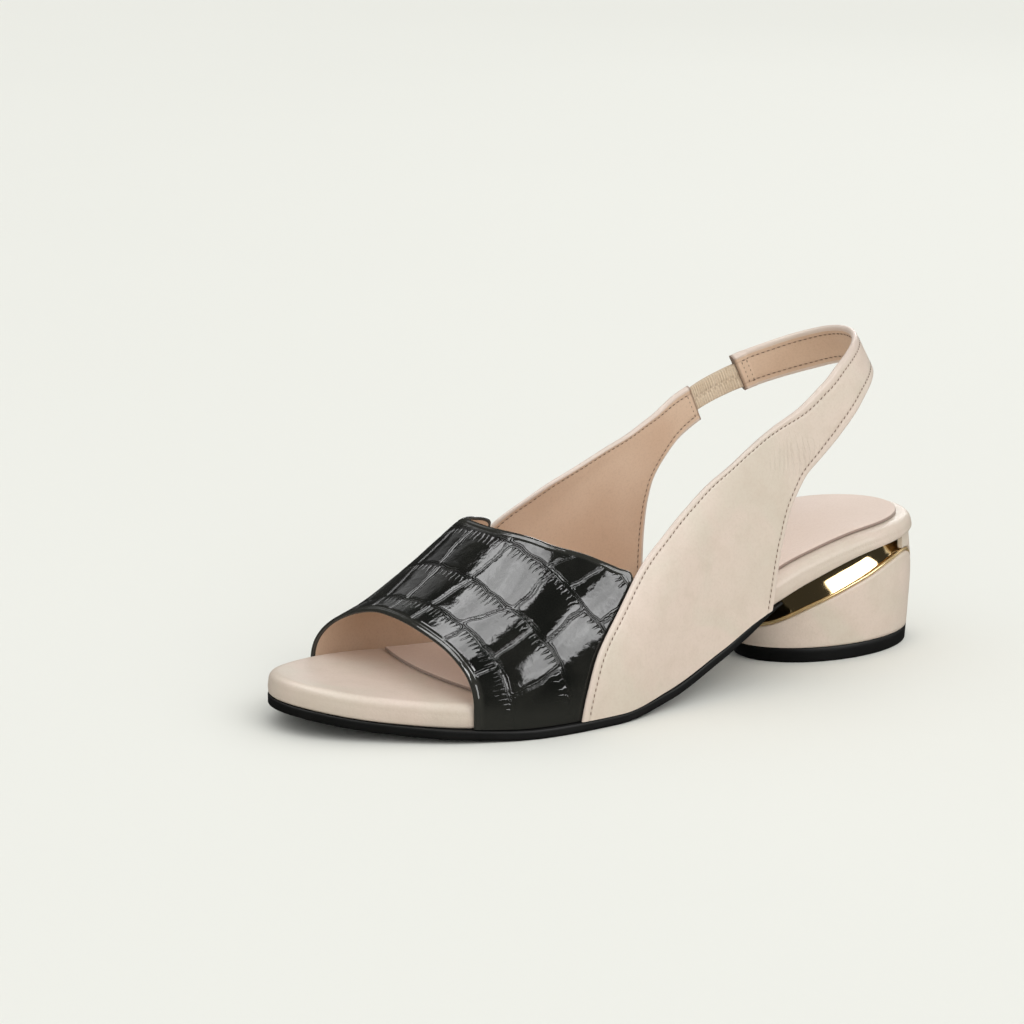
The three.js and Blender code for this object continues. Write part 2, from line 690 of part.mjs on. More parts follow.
function heelSpine() {
  const turns = spread(14).map((t) => SPINE_TURN + (1 - SPINE_TURN) * 2 * t);
  const bottom = (turn) => beadHeight(turn, 2 * BEAD_RADIUS + 3 * GAP);
  const place = (inset) => (turn, up) => {
    const near = turn > 1 ? 2 - turn : turn;
    const z = bottom(near) + (seatUnder(near) - bottom(near)) * up;
    return heelPoint(turn, z, inset);
  };
  return wall(turns, spread(3), place(0), place(SHELL_RIM));
}

// Materials
const finish = (color, roughness, metalness) =>
  new THREE.MeshStandardMaterial({ color, roughness, metalness });
const nude = finish(0xdccbb9, 0.55, 0);
const sockLeather = finish(0xd9bfae, 0.6, 0);
const patent = finish(0x0c0c0f, 0.15, 0);
const rubber = finish(0x151515, 0.6, 0);
const gold = finish(0xd9b36b, 0.15, 1);
const knit = finish(0xd8cdb0, 0.8, 0);

function piece(name, geometry, material) {
  const mesh = new THREE.Mesh(geometry, material);
  mesh.name = name;
  return mesh;
}

const sandal = new THREE.Group();
sandal.add(
  piece('outsole', outsole(), rubber),
  piece('footbed', footbed(), nude),
  piece('sock', sock(), sockLeather),
  piece('vamp', vamp(), patent),
  piece('outer_quarter_strap', outerQuarterStrap(), nude),
  piece('inner_quarter', innerQuarter(), nude),
  piece('elastic', elastic(), knit),
  piece('heel_shell', heelShell(), nude),
  piece('heel_core', heelCore(), gold),
  piece('heel_bead', heelBead(), gold),
  piece('heel_spine', heelSpine(), nude),
  piece('top_lift', topLift(), rubber),
);

// The origin lies on the floor under the middle of the shoe's box
const box = new THREE.Box3().setFromObject(sandal, true);
const middle = box.getCenter(new THREE.Vector3());
sandal.position.set(-middle.x, -middle.y, 0);

export default sandal;
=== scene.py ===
import math

import bmesh
import bpy
import numpy as np
from mathutils import Matrix, Vector, noise


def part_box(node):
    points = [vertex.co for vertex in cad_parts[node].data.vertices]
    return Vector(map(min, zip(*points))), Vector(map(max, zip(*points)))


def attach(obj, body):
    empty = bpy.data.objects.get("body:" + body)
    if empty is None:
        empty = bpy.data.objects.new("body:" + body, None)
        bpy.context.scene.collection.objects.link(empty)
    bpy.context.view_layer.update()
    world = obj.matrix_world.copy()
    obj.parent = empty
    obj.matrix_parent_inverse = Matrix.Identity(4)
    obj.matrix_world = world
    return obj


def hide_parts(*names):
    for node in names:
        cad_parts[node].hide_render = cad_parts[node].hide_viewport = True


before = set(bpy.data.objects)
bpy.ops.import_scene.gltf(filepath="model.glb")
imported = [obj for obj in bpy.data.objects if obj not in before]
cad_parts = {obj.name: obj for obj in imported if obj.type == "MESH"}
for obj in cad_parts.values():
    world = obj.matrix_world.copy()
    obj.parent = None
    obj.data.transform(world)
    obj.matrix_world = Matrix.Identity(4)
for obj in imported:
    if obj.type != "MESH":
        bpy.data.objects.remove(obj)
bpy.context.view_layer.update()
MM = 0.001
WELD = 0.002 * MM

# Footbed: a moulded board and a thin foam, wrapped in smooth nude leather that turns under
# at the side wall. The whole shoe is built on its outline: x runs from the heel to the toe,
# and every share below is measured from the heel's back.
footbed_low, footbed_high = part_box("footbed")
lift_low, lift_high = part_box("top_lift")
LENGTH = footbed_high.x - footbed_low.x
MIDDLE_X = (footbed_high.x + footbed_low.x) / 2
AXIS_Y = (lift_high.y + lift_low.y) / 2
BALL_HALF_WIDTH = 41.5 * MM
TOE_SWING = 15 * MM
SEAT_RISE = 36 * MM
TOE_SPRING = 7 * MM
HEEL_ROUND = 35 * MM
TOE_ROUND = 62 * MM
TOE_POWER = 2.2
OUTSOLE_THICKNESS = 3.2 * MM
GAP = 0.3 * MM
FOOTBED_THICKNESS = 7.8 * MM
FOOTBED_EDGE_RADIUS = 3.4 * MM
FOOTBED_TAPER = 2.8 * MM
TAPER_SHARES = (0.02, 0.31)
FOOTBED_BULGE = 0.25 * MM
SOLE = {
    "at": [0.0, 0.12, 0.25, 0.35, 0.42, 0.52, 0.61, 0.73, 0.82, 0.92, 1.0],
    "half": [0.69, 0.7, 0.695, 0.695, 0.715, 0.8, 0.92, 1.0, 0.975, 0.88, 0.8],
    "swing": [0.0, 0.0, -0.03, -0.1, -0.13, -0.1, 0.01, 0.3, 0.62, 0.9, 1.0],
    "rise": [1.0, 0.96, 0.79, 0.56, 0.34, 0.09, 0.0, 0.0, 0.0, 0.0, 0.0],
    "spring": [0.0, 0.0, 0.0, 0.0, 0.0, 0.0, 0.0, 0.0, 0.16, 0.5, 1.0],
}


def through(table, key, column):
    """Smooth curve through one column of a table, with no overshoot between its rows"""
    xs, ys = np.array(table[key]), np.array(table[column])
    gaps = np.diff(xs)
    steep = np.diff(ys) / gaps
    both = steep[:-1] * steep[1:]
    total = np.where(both > 0, steep[:-1] + steep[1:], 1)
    slopes = np.concatenate([steep[:1], np.where(both > 0, 2 * both / total, 0), steep[-1:]])

    def value(x):
        at = np.clip(x, xs[0], xs[-1])
        k = np.clip(np.searchsorted(xs, at, side="right") - 1, 0, len(gaps) - 1)
        t = (at - xs[k]) / gaps[k]
        lean = slopes[k] * t * (1 - t) ** 2 - slopes[k + 1] * t * t * (1 - t)
        return ys[k] + (ys[k + 1] - ys[k]) * t * t * (3 - 2 * t) + gaps[k] * lean

    return value


def curves(table):
    """A smooth curve for each column of a table after its first"""
    key, *columns = table
    return [through(table, key, column) for column in columns]


half_share, swing_share, rise_share, spring_share = curves(SOLE)


def share_of(x):
    return x / LENGTH + 0.5


def half_width(x):
    return BALL_HALF_WIDTH * half_share(share_of(x))


def centre_line(x):
    return -TOE_SWING * swing_share(share_of(x))


def underside(x):
    return SEAT_RISE * rise_share(share_of(x)) + TOE_SPRING * spring_share(share_of(x))


def seat_line(x):
    return underside(x) + OUTSOLE_THICKNESS + GAP


def footbed_under(x):
    """Footbed's underside, which rises towards the heel's back where the board is thinned"""
    return seat_line(x) + FOOTBED_TAPER * (1 - smooth_step(*TAPER_SHARES, share_of(x)))


def round_ends(x, inset):
    """Share of the full width that the round heel and toe leave at x"""
    heel = np.clip(1 - (x + LENGTH / 2 - inset) / (HEEL_ROUND - inset), 0, 1)
    toe = np.clip(1 - (LENGTH / 2 - inset - x) / (TOE_ROUND - inset), 0, 1)
    return np.sqrt(1 - heel**2) * np.sqrt(1 - toe**TOE_POWER)


def smooth_step(low, high, value):
    t = np.clip((value - low) / (high - low), 0, 1)
    return t * t * (3 - 2 * t)


def outline(u, start, stop, inset, cut_start=0.0, cut_stop=0.0):
    """x and y round the shoe's outline, u from 0 to 1, with an end cut straight where asked"""
    t = 1 - np.abs(2 * u - 1)
    side = np.where(u < 0.5, 1.0, -1.0)
    station = np.clip((t - cut_start) / (1 - cut_start - cut_stop), 0, 1)
    x = start + (stop - start) * (0.5 - 0.5 * np.cos(np.pi * station))
    across = np.clip(t / cut_start, 0, 1) if cut_start else 1.0
    across = across * (np.clip((1 - t) / cut_stop, 0, 1) if cut_stop else 1.0)
    beyond = np.sign(x) * np.clip(np.abs(x) - LENGTH / 2 + inset, 0, None)
    half = (half_width(x) - inset) * round_ends(x - beyond, inset) * across
    return x, side * half


def add_piece(name, shape, finish):
    """Turns a finished shape into an object of one material, its place kept in its mesh"""
    mesh = bpy.data.meshes.new(name)
    shape.to_mesh(mesh)
    shape.free()
    mesh.materials.append(finish)
    piece = bpy.data.objects.new(name, mesh)
    bpy.context.scene.collection.objects.link(piece)
    return piece


def lay_grid(name, finish, columns, rows, place, **marks):
    """A piece from a grid of columns by rows, each corner put at place(column share, row number).
    Each mark is a function of the same two that is kept on the corners for the materials."""
    shape = bmesh.new()
    bmesh.ops.create_grid(shape, x_segments=columns, y_segments=rows, size=0.5)
    flat = np.array([corner.co[:2] for corner in shape.verts]) + 0.5
    u, row = flat[:, 0], np.rint(flat[:, 1] * rows).astype(int)
    points = place(u, row)
    for corner, point in zip(shape.verts, points):
        corner.co = Vector(point) + Vector((MIDDLE_X, AXIS_Y, 0))
    for mark, value in marks.items():
        layer = shape.verts.layers.float.new(mark)
        for corner, amount in zip(shape.verts, value(u, row)):
            corner[layer] = amount
    bmesh.ops.remove_doubles(shape, verts=shape.verts, dist=WELD)
    open_edges = [edge for edge in shape.edges if edge.is_boundary]
    if open_edges:
        bmesh.ops.holes_fill(shape, edges=open_edges, sides=0)
        for edge in open_edges:
            edge.smooth = False
    bmesh.ops.recalc_face_normals(shape, faces=shape.faces)
    for face in shape.faces:
        face.smooth = True
    return add_piece(name, shape, finish)


def settle(piece, slot, *nodes):
    """The piece rides on the shoe and stands for its CAD nodes; its slot is not used"""
    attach(piece, "root")
    if nodes:
        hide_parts(*nodes)


class Wire:
    """A socket that takes part in sums, so that shader maths reads as plain arithmetic"""

    def __init__(self, tree, socket=None):
        self.tree = tree
        self.socket = socket

    def node(self, kind, settings=None, sockets=None, output=0):
        """Adds a node, sets it up, then gives its sockets their values or links"""
        made = self.tree.nodes.new("ShaderNode" + kind)
        for name, value in (settings or {}).items():
            setattr(made, name, value)
        for key, value in (sockets or {}).items():
            if isinstance(value, Wire):
                self.tree.links.new(value.socket, made.inputs[key])
            else:
                made.inputs[key].default_value = value
        return Wire(self.tree, made.outputs[output])

    def math(self, operation, *values):
        return self.node("Math", {"operation": operation}, dict(enumerate(values)))

    def __add__(self, other):
        return self.math("ADD", self, other)

    def __radd__(self, other):
        return self.math("ADD", other, self)

    def __sub__(self, other):
        return self.math("SUBTRACT", self, other)

    def __rsub__(self, other):
        return self.math("SUBTRACT", other, self)

    def __mul__(self, other):
        return self.math("MULTIPLY", self, other)

    def __rmul__(self, other):
        return self.math("MULTIPLY", other, self)

    def __truediv__(self, other):
        return self.math("DIVIDE", self, other)

    def step(self, low, high):
        limits = {"Value": self, "From Min": low, "From Max": high}
        return self.node("MapRange", {"interpolation_type": "SMOOTHSTEP"}, limits)

    def blend(self, first, second):
        """Colour between the two by this share"""
        colors = {0: self, 6: first, 7: second}
        return self.node("Mix", {"data_type": "RGBA"}, colors, output=2)

    def mark(self, name):
        return self.node("Attribute", {"attribute_name": name}, output=2)

    def place(self):
        return self.node("TexCoord", output=3)

    def noise(self, scale, detail=2.0, **more):
        sockets = {"Vector": self.place(), "Scale": scale, "Detail": detail}
        return self.node("TexNoise", {}, {**sockets, **more})

    def bump(self, height, strength, distance):
        return self.node("Bump", {}, {"Strength": strength, "Distance": distance, "Height": height})


def new_finish(name, **sockets):
    """A material, its shader with fixed sockets set, and a wire to build the rest with"""
    material = bpy.data.materials.new(name)
    material.use_nodes = True
    shader = material.node_tree.nodes["Principled BSDF"]
    for key, value in sockets.items():
        shader.inputs[key.replace("_", " ")].default_value = value
    wire = Wire(material.node_tree)

    def feed(key, source):
        material.node_tree.links.new(source.socket, shader.inputs[key])

    return material, wire, feed


def nude_leather():
    """Smooth nude calf with a fine grain, a slow change of tone, a pinker folded rim that is also lightened
    as a painted highlight, and painted shade on the footbed's side wall and along the seams
    """
    material, wire, feed = new_finish(
        "nude_calf", Coat_Roughness=0.32, IOR=1.45, Sheen_Weight=0.08, Sheen_Roughness=0.5
    )
    slow = wire.noise(34.0, 3.0, Distortion=0.8).step(0.36, 0.64)
    tone = slow.blend((0.665, 0.58, 0.482, 1), (0.71, 0.588, 0.502, 1))
    smudge = wire.noise(150.0, 4.0).step(0.42, 0.72)
    tone = (smudge * 0.3).blend(tone, (0.60, 0.49, 0.395, 1))
    speck = wire.noise(1100.0, 2.0).step(0.4, 0.75)
    tone = (speck * 0.22).blend(tone, (0.56, 0.45, 0.36, 1))
    # Rims: tinted pinker, and lightened there as a painted highlight
    tone = (wire.mark("rim") * 0.5).blend(tone, (0.71, 0.585, 0.515, 1))
    # Painted shade: the footbed's side wall darkened as if it faced away from the light
    tone = (wire.mark("wall") * 0.4).blend(tone, (0.53, 0.435, 0.36, 1))
    # Painted shade in the stitch groove along each seam
    tone = (wire.mark("seam_shade") * 0.5).blend(tone, (0.40, 0.29, 0.22, 1))
    tone = (wire.mark("end") * 0.8).blend(tone, (0.16, 0.09, 0.055, 1))
    feed("Base Color", tone)
    grain = wire.node("TexVoronoi", {}, {"Vector": wire.place(), "Scale": 1500.0})
    pores = wire.noise(2600.0, 3.0)
    creases = wire.noise(380.0, 4.0, Distortion=0.9)
    lines = wire.math("SINE", wire.mark("fold") * 3.6 + wire.noise(170.0, 3.0) * 9.0)
    folds = lines.step(0.35, 1.0) * wire.mark("creased")
    height = grain * 0.6 + pores * 0.8 + creases * 1.6 - folds * 5.0
    feed("Normal", wire.bump(height, 0.55, 0.09 * MM))
    feed("Roughness", 0.44 + wire.noise(160.0, 2.0) * 0.16)
    feed("Coat Weight", 0.10 + wire.mark("rim") * 0.10)
    return material


NUDE = nude_leather()


def footbed_rings():
    """Rows round the footbed's section: inset, share up the side wall, rise over the wall's top,
    and share pulled to the middle"""
    rings = [(0.5 * MM, 0.0, 0.0, 1.0), (0.5 * MM, 0.0, 0.0, 0.5), (0.5 * MM, 0.0, 0.0, 0.0)]
    for t in np.linspace(0.1, 1, 9):
        rings.append((-FOOTBED_BULGE * math.sin(math.pi * t), t, 0.0, 0.0))
    for angle in np.linspace(0, math.pi / 2, 12)[1:]:
        inset = FOOTBED_EDGE_RADIUS * (1 - math.cos(angle))
        rings.append((inset, 1.0, FOOTBED_EDGE_RADIUS * math.sin(angle), 0.0))
    for t in np.linspace(0, 1, 13)[1:]:
        rings.append((FOOTBED_EDGE_RADIUS, 1.0, FOOTBED_EDGE_RADIUS, t))
    return np.array(rings)


FOOTBED_RINGS = footbed_rings()


def footbed_place(u, row):
    inset, up, over, pulled = FOOTBED_RINGS[row].T
    x, y = outline(u, -LENGTH / 2 + inset, LENGTH / 2 - inset, inset)
    top = seat_line(x) + FOOTBED_THICKNESS - FOOTBED_EDGE_RADIUS
    z = footbed_under(x) * (1 - up) + top * up + over
    return np.stack([x, centre_line(x) + y * (1 - pulled), z], axis=-1)


def footbed_rim_tint_and_highlight(u, row):
    """How near a corner is to the rounded edge, 1 on it; there the leather is tinted pinker and lightened as
    a painted highlight
    """
    over, pulled = FOOTBED_RINGS[row, 2:].T
    return smooth_step(0.2, 0.7, over / FOOTBED_EDGE_RADIUS) * (1 - smooth_step(0, 0.12, pulled)) * 0.1


def footbed_wall_shade(u, row):
    """How near a corner is to the side wall, 1 on it; the leather is darkened there as painted shade"""
    over, pulled = FOOTBED_RINGS[row, 2:].T
    return (1 - smooth_step(0.3, 1.0, over / FOOTBED_EDGE_RADIUS)) * (1 - smooth_step(0, 0.1, pulled))


footbed = lay_grid(
    "footbed_wrap", NUDE, 260, len(FOOTBED_RINGS) - 1, footbed_place, rim=footbed_rim_tint_and_highlight, wall=footbed_wall_shade
)
settle(footbed, "nude_leather", "footbed")


# Outsole: one sheet of black rubber under the forefoot and waist, a little wider than the
# footbed, its edge trimmed square and buffed. It ends against the heel's front.
HEEL_LENGTH = 70 * MM
HEEL_WIDTH = 50 * MM
HEEL_SETBACK = 33 * MM
OUTSOLE_WELT = 3 * MM
OUTSOLE_SETBACK = 3 * MM
OUTSOLE_BEVEL = 0.5 * MM
SOLE_CUT = 0.05
SKIVE_RUN = 16 * MM
SKIVE_SHARE = 0.7
WELT = {
    "at": [0.0, 0.3, 0.38, 0.5, 0.72, 0.84, 0.92, 1.0],
    "out": [0.1, 0.3, 0.7, 1.0, 1.0, 0.55, 0.15, 0.1],
}
HEEL = {
    "rise": [0.0, 0.35, 0.7, 1.1],
    "front": [0.49, 0.545, 0.555, 0.555],
    "back": [0.488, 0.496, 0.5, 0.475],
    "half": [0.46, 0.485, 0.505, 0.51],
}
welt_share = through(WELT, "at", "out")
heel_front_share, heel_back_share, heel_half_share = curves(HEEL)
HEEL_CENTRE = -LENGTH / 2 + HEEL_SETBACK
OUTSOLE_START = HEEL_CENTRE + HEEL_LENGTH * float(heel_front_share(1.0)) + OUTSOLE_SETBACK
OUTSOLE_RINGS = np.array(
    [(OUTSOLE_BEVEL, 0.0, 1 - t) for t in np.linspace(0, 1, 9)]
    + [(0.15 * MM, 0.15 * MM, 0.0), (0.0, OUTSOLE_BEVEL, 0.0)]
    + [(0.0, OUTSOLE_THICKNESS * t, 0.0) for t in (0.4, 0.7, 0.93)]
    + [(0.2 * MM, OUTSOLE_THICKNESS, 0.0)]
    + [(0.2 * MM, OUTSOLE_THICKNESS, t) for t in (0.1, 0.5, 1.0)]
)


def outsole_place(u, row):
    extra, lift, pulled = OUTSOLE_RINGS[row].T
    stop = LENGTH / 2 + OUTSOLE_WELT * welt_share(1.0) - extra
    x, _ = outline(u, OUTSOLE_START, stop, 0.0, cut_start=SOLE_CUT)
    out = OUTSOLE_WELT * welt_share(share_of(x))
    x, y = outline(u, OUTSOLE_START, stop, extra - out, cut_start=SOLE_CUT)
    skive = SKIVE_SHARE * (1 - smooth_step(OUTSOLE_START, OUTSOLE_START + SKIVE_RUN, x))
    z = underside(x) + lift + (OUTSOLE_THICKNESS - lift) * skive
    return np.stack([x, centre_line(x) + y * (1 - pulled), z], axis=-1)


def black_rubber():
    """Black sole rubber with a dull buffed sheen and a faint sanded grain"""
    material, wire, feed = new_finish("black_rubber", Specular_IOR_Level=0.3)
    dust = wire.noise(70.0, 4.0).step(0.45, 0.8)
    feed("Base Color", (dust * 0.5).blend((0.004, 0.004, 0.0035, 1), (0.010, 0.0095, 0.0085, 1)))
    feed("Roughness", 0.42 + wire.noise(300.0, 3.0) * 0.22)
    feed("Normal", wire.bump(wire.noise(1500.0, 3.0), 0.25, 0.1 * MM))
    return material


RUBBER = black_rubber()
outsole = lay_grid("outsole_rubber", RUBBER, 300, len(OUTSOLE_RINGS) - 1, outsole_place)
settle(outsole, "sole_rubber", "outsole")


# Sock: a thin brushed leather insole, pale pink, glued on the footbed inside its rounded edge.
# Its cut edge is darkened as painted shade of the groove round it, and it ends under the toes.
SOCK_THICKNESS = 1 * MM
SOCK_INSET = 5.5 * MM
SOCK_LENGTH = 187.5 * MM
SOCK_CUT = 0.09
SOCK_BOW = 5 * MM
SOCK_BOW_RUN = 25 * MM
SOCK_RINGS = np.array(
    [(0.0, 0.0, 1.0), (0.0, 0.0, 0.0), (0.0, 0.45, 0.0), (0.1 * MM, 0.8, 0.0), (0.35 * MM, 1.0, 0.0)]
    + [(0.35 * MM, 1.0, t) for t in np.linspace(0, 1, 17)[1:]]
)


def sock_place(u, row):
    extra, lift, pulled = SOCK_RINGS[row].T
    start = -LENGTH / 2 + SOCK_INSET + extra
    stop = -LENGTH / 2 + SOCK_LENGTH - extra
    x, y = outline(u, start, stop, SOCK_INSET + extra, cut_stop=SOCK_CUT)
    bowed = 1 - np.clip(np.abs(y) / (half_width(x) - SOCK_INSET - extra), 0, 1) ** 2
    x = x + SOCK_BOW * bowed * smooth_step(stop - SOCK_BOW_RUN, stop, x)
    z = seat_line(x) + FOOTBED_THICKNESS + GAP + SOCK_THICKNESS * lift
    return np.stack([x, centre_line(x) + y * (1 - pulled), z], axis=-1)


def sock_edge_shade(u, row):
    # The sock's cut edge, darkened in its finish as painted shade
    return (SOCK_RINGS[row][:, 2] < 0.02) & (SOCK_RINGS[row][:, 1] < 0.95)


def brushed_leather():
    """Brushed pinkish lining leather with a short nap, and painted shade darkening its cut edge"""
    material, wire, feed = new_finish(
        "brushed_sock", Specular_IOR_Level=0.3, Sheen_Weight=0.25, Sheen_Roughness=0.6
    )
    cloud = wire.noise(38.0, 4.0).step(0.3, 0.7)
    tone = cloud.blend((0.735, 0.595, 0.505, 1), (0.775, 0.635, 0.55, 1))
    nap = wire.noise(1400.0, 3.0)
    tone = (nap.step(0.35, 0.8) * 0.22).blend(tone, (0.56, 0.40, 0.32, 1))
    # Painted shade: the cut edge darkened as the groove round the sock
    tone = (wire.mark("cut") * 0.8).blend(tone, (0.20, 0.13, 0.10, 1))
    feed("Base Color", tone)
    feed("Roughness", 0.78 + nap * 0.12)
    feed("Normal", wire.bump(nap + wire.noise(500.0, 2.0), 0.3, 0.12 * MM))
    return material


sock = lay_grid("sock_lining", brushed_leather(), 240, len(SOCK_RINGS) - 1, sock_place, cut=sock_edge_shade)
settle(sock, "sock_leather", "sock")


# Vamp: a band of black patent leather embossed like crocodile, lasted over the toes. Its edges
# are folded in and its inside is lined with tan leather. Rows of scales run across the foot.
INSTEP_HEIGHT = 57.2 * MM
RIDGE_SHIFT = 16 * MM
SIDE_WALL = 6 * MM
BEND_CLEARANCE = 0.15 * MM
VAMP_THICKNESS = 1.5 * MM
VAMP_FOOT = 1 / 28
LAST = {
    "at": [0.0, 0.22, 0.34, 0.43, 0.5, 0.58, 0.66, 0.74, 0.82, 0.88, 1.0],
    "high": [1.81, 1.87, 1.93, 1.69, 1.43, 1.19, 1.0, 0.735, 0.495, 0.365, 0.24],
    "shift": [0.0, 0.0, 0.0, 0.18, 0.5, 0.88, 1.0, 0.9, 0.6, 0.8, 0.3],
    "round": [2.4, 2.4, 2.4, 2.4, 2.35, 2.25, 2.25, 2.2, 2.08, 2.08, 2.08],
}
VAMP_EDGES = {
    "turn": [0.0, 0.08, 0.13, 0.17, 0.24, 0.33, 0.49, 0.61, 0.75, 0.84, 0.92, 1.0],
    "front": [0.8145, 0.814, 0.8145, 0.816, 0.819, 0.824, 0.83, 0.841, 0.857, 0.864, 0.868, 0.87],
    "rear_turn": [0.0, 0.08, 0.13, 0.17, 0.2, 0.24, 0.33, 0.49, 0.61, 0.68, 0.75, 0.84, 0.92, 1.0],
    "rear": [0.632, 0.598, 0.562, 0.564, 0.581, 0.604, 0.65, 0.679, 0.672, 0.645, 0.614, 0.617, 0.637, 0.655],
}
# Borders between the rows of scales, in millimetres behind the front edge
SCALE_BORDERS = {
    "around": [0.0, 0.05, 0.1, 0.15, 0.2, 0.3, 0.4, 0.5, 0.6, 0.7, 0.8, 0.9, 1.0],
    "first": [12.5, 12.0, 11.2, 10.8, 10.5, 10.8, 11.0, 9.0, 8.7, 9.5, 10.5, 11.5, 12.5],
    "second": [33, 32, 30, 28.5, 27.2, 25.3, 26.5, 25.8, 25.5, 26.5, 28, 30, 32],
    "third": [53, 52, 50.5, 48, 45, 43.7, 43.5, 42.5, 42, 44, 47, 50, 52],
}
# Side borders of the scales in each row: where each leaves the row's front and rear border
SCALE_SIDES = [
    {"front": [-0.1, 0.155, 0.285, 0.41, 0.478, 0.545, 0.62, 0.70, 0.79, 0.88, 1.1],
     "rear": [-0.1, 0.165, 0.302, 0.41, 0.48, 0.545, 0.62, 0.70, 0.785, 0.88, 1.1]},
    {"front": [-0.1, 0.075, 0.19, 0.317, 0.412, 0.475, 0.545, 0.63, 0.73, 0.83, 0.92, 1.1],
     "rear": [-0.1, 0.11, 0.212, 0.28, 0.393, 0.475, 0.55, 0.635, 0.725, 0.82, 0.90, 1.1]},
    {"front": [-0.1, 0.165, 0.268, 0.40, 0.485, 0.555, 0.65, 0.76, 0.87, 1.1],
     "rear": [-0.1, 0.192, 0.282, 0.39, 0.483, 0.55, 0.66, 0.75, 0.86, 1.1]},
    {"front": [-0.1, 0.15, 0.234, 0.30, 0.40, 0.5, 0.6, 0.7, 0.8, 0.9, 1.1],
     "rear": [-0.1, 0.17, 0.242, 0.27, 0.40, 0.5, 0.6, 0.7, 0.8, 0.9, 1.1]},
]
high_share, shift_share, round_power = curves(LAST)
vamp_front = through(VAMP_EDGES, "turn", "front")
vamp_rear = through(VAMP_EDGES, "rear_turn", "rear")


def last_section(x):
    """Ridge, height and roundness of the last's section at x"""
    ridge = centre_line(x) - RIDGE_SHIFT * shift_share(share_of(x))
    return ridge, INSTEP_HEIGHT * high_share(share_of(x)), round_power(share_of(x))


def vamp_base(along, around):
    """Point on the last. along: 0 at the front edge, 1 at the rear. around: outer to inner side."""
    turn = np.clip((around - VAMP_FOOT) / (1 - 2 * VAMP_FOOT), 0, 1)
    wall = np.clip(np.minimum(around, 1 - around) / VAMP_FOOT, 0, 1)
    x = LENGTH * (vamp_front(turn) + (vamp_rear(turn) - vamp_front(turn)) * along - 0.5)
    ridge, high, power = last_section(x)
    side = np.where(turn > 0.5, -1.0, 1.0)
    half = half_width(x) * round_ends(x, 0)
    across = np.abs(np.cos(np.pi * turn)) ** (2 / power)
    up = np.clip(np.sin(np.pi * turn), 0, 1) ** (2 / power)
    y = ridge + side * (half + GAP - side * (ridge - centre_line(x))) * across
    z = seat_line(x) + BEND_CLEARANCE + SIDE_WALL * wall + (high - SIDE_WALL) * up
    return np.stack([x, y, z], axis=-1)


def unit(vectors):
    return vectors / np.linalg.norm(vectors, axis=-1, keepdims=True)


def vamp_normal(along, around):
    kept = np.clip(around, 0.008, 0.992)
    lengthwise = vamp_base(along + 0.01, kept) - vamp_base(along - 0.01, kept)
    crosswise = vamp_base(along, kept + 0.004) - vamp_base(along, kept - 0.004)
    return unit(np.cross(lengthwise, crosswise))


def vamp_measures(columns):
    """Depth of the band from edge to edge, and the run round it, at each column"""
    around = np.linspace(0, 1, columns + 1)
    middle = np.linspace(0, 1, 25)
    grid = vamp_base(*np.meshgrid(middle, around, indexing="ij"))
    depth = np.linalg.norm(np.diff(grid, axis=0), axis=-1).sum(axis=0)
    steps = np.linalg.norm(np.diff(grid[8], axis=0), axis=-1)
    return around, depth, np.concatenate([[0], np.cumsum(steps)])


VAMP_COLUMNS = 420
VAMP_AROUND, VAMP_DEPTH, VAMP_RUN = vamp_measures(VAMP_COLUMNS)


def folded_section(near, middle, inside, rim, rim_steps=8):
    """Rows round the section of a leather band with folded edges. Each row has an offset and a
    share of the band's depth, which add up to its distance from the first edge, and a height
    share from the lining to the outer face. near: offsets kept dense beside both edges."""
    turn = np.linspace(0, math.pi, rim_steps + 1)
    rows = [(rim * (1 - math.sin(a)), 0.0, (1 - math.cos(a)) / 2) for a in turn]
    rows += [(offset, 0.0, 1.0) for offset in near]
    for f in np.linspace(0, 1, middle + 1)[1:-1]:
        rows.append((near[-1] * (1 - 2 * f), f, 1.0))
    rows += [(-offset, 1.0, 1.0) for offset in reversed(near)]
    rows += [(-rim * (1 - math.sin(a)), 1.0, (1 + math.cos(a)) / 2) for a in turn]
    folds = [1.3 * MM, 1.5 * MM, 2.2 * MM, 2.6 * MM, 3.0 * MM, 4.0 * MM]
    rows += [(-offset, 1.0, 0.0) for offset in folds]
    for f in np.linspace(1, 0, inside + 1)[1:-1]:
        rows.append((folds[-1] * (1 - 2 * f), f, 0.0))
    rows += [(offset, 0.0, 0.0) for offset in reversed(folds)]
    rows.append(rows[0])
    return np.array(rows)


def across_band(section, row, depth):
    """Distance from a band's first edge and from its nearer edge, and the height share"""
    offset, share, height = section[row].T
    distance = offset + share * depth
    return distance, np.minimum(distance, depth - distance), height


VAMP_RIM = 0.7 * MM
VAMP_NEAR = [k * 0.4 * MM for k in range(2, 12)]
VAMP_SECTION = folded_section(VAMP_NEAR, 136, 12, VAMP_RIM)
HEM_ROLL = 0.35 * MM
HEM_ROLL_WIDTH = 2.0 * MM
HEM_CREASE = 2.1 * MM
HEM_CREASE_HALF = 0.35 * MM
HEM_CREASE_DEPTH = 0.25 * MM
LINING_INSET = 1.2 * MM
# Scales, in millimetres: their relief, the border in front of the front edge, how deep the last
# row runs, the run round the band at its front edge and its gain with depth, and a mean run
CHANNEL_DEPTH = 0.07
CHANNEL_HALF = 0.9
SCALE_CROWN = 0.06
FIRST_BORDER = -9.0
LAST_ROW_DEPTH = 19.0
FRONT_RUN = 122
RUN_GAIN = 1.1
MEAN_RUN = 170
NOISE_LAYER_GAP = 7.3


def vamp_depth(u):
    return np.interp(u, VAMP_AROUND, VAMP_DEPTH)


def vamp_run(u, row):
    return np.interp(u, VAMP_AROUND, VAMP_RUN) / MM


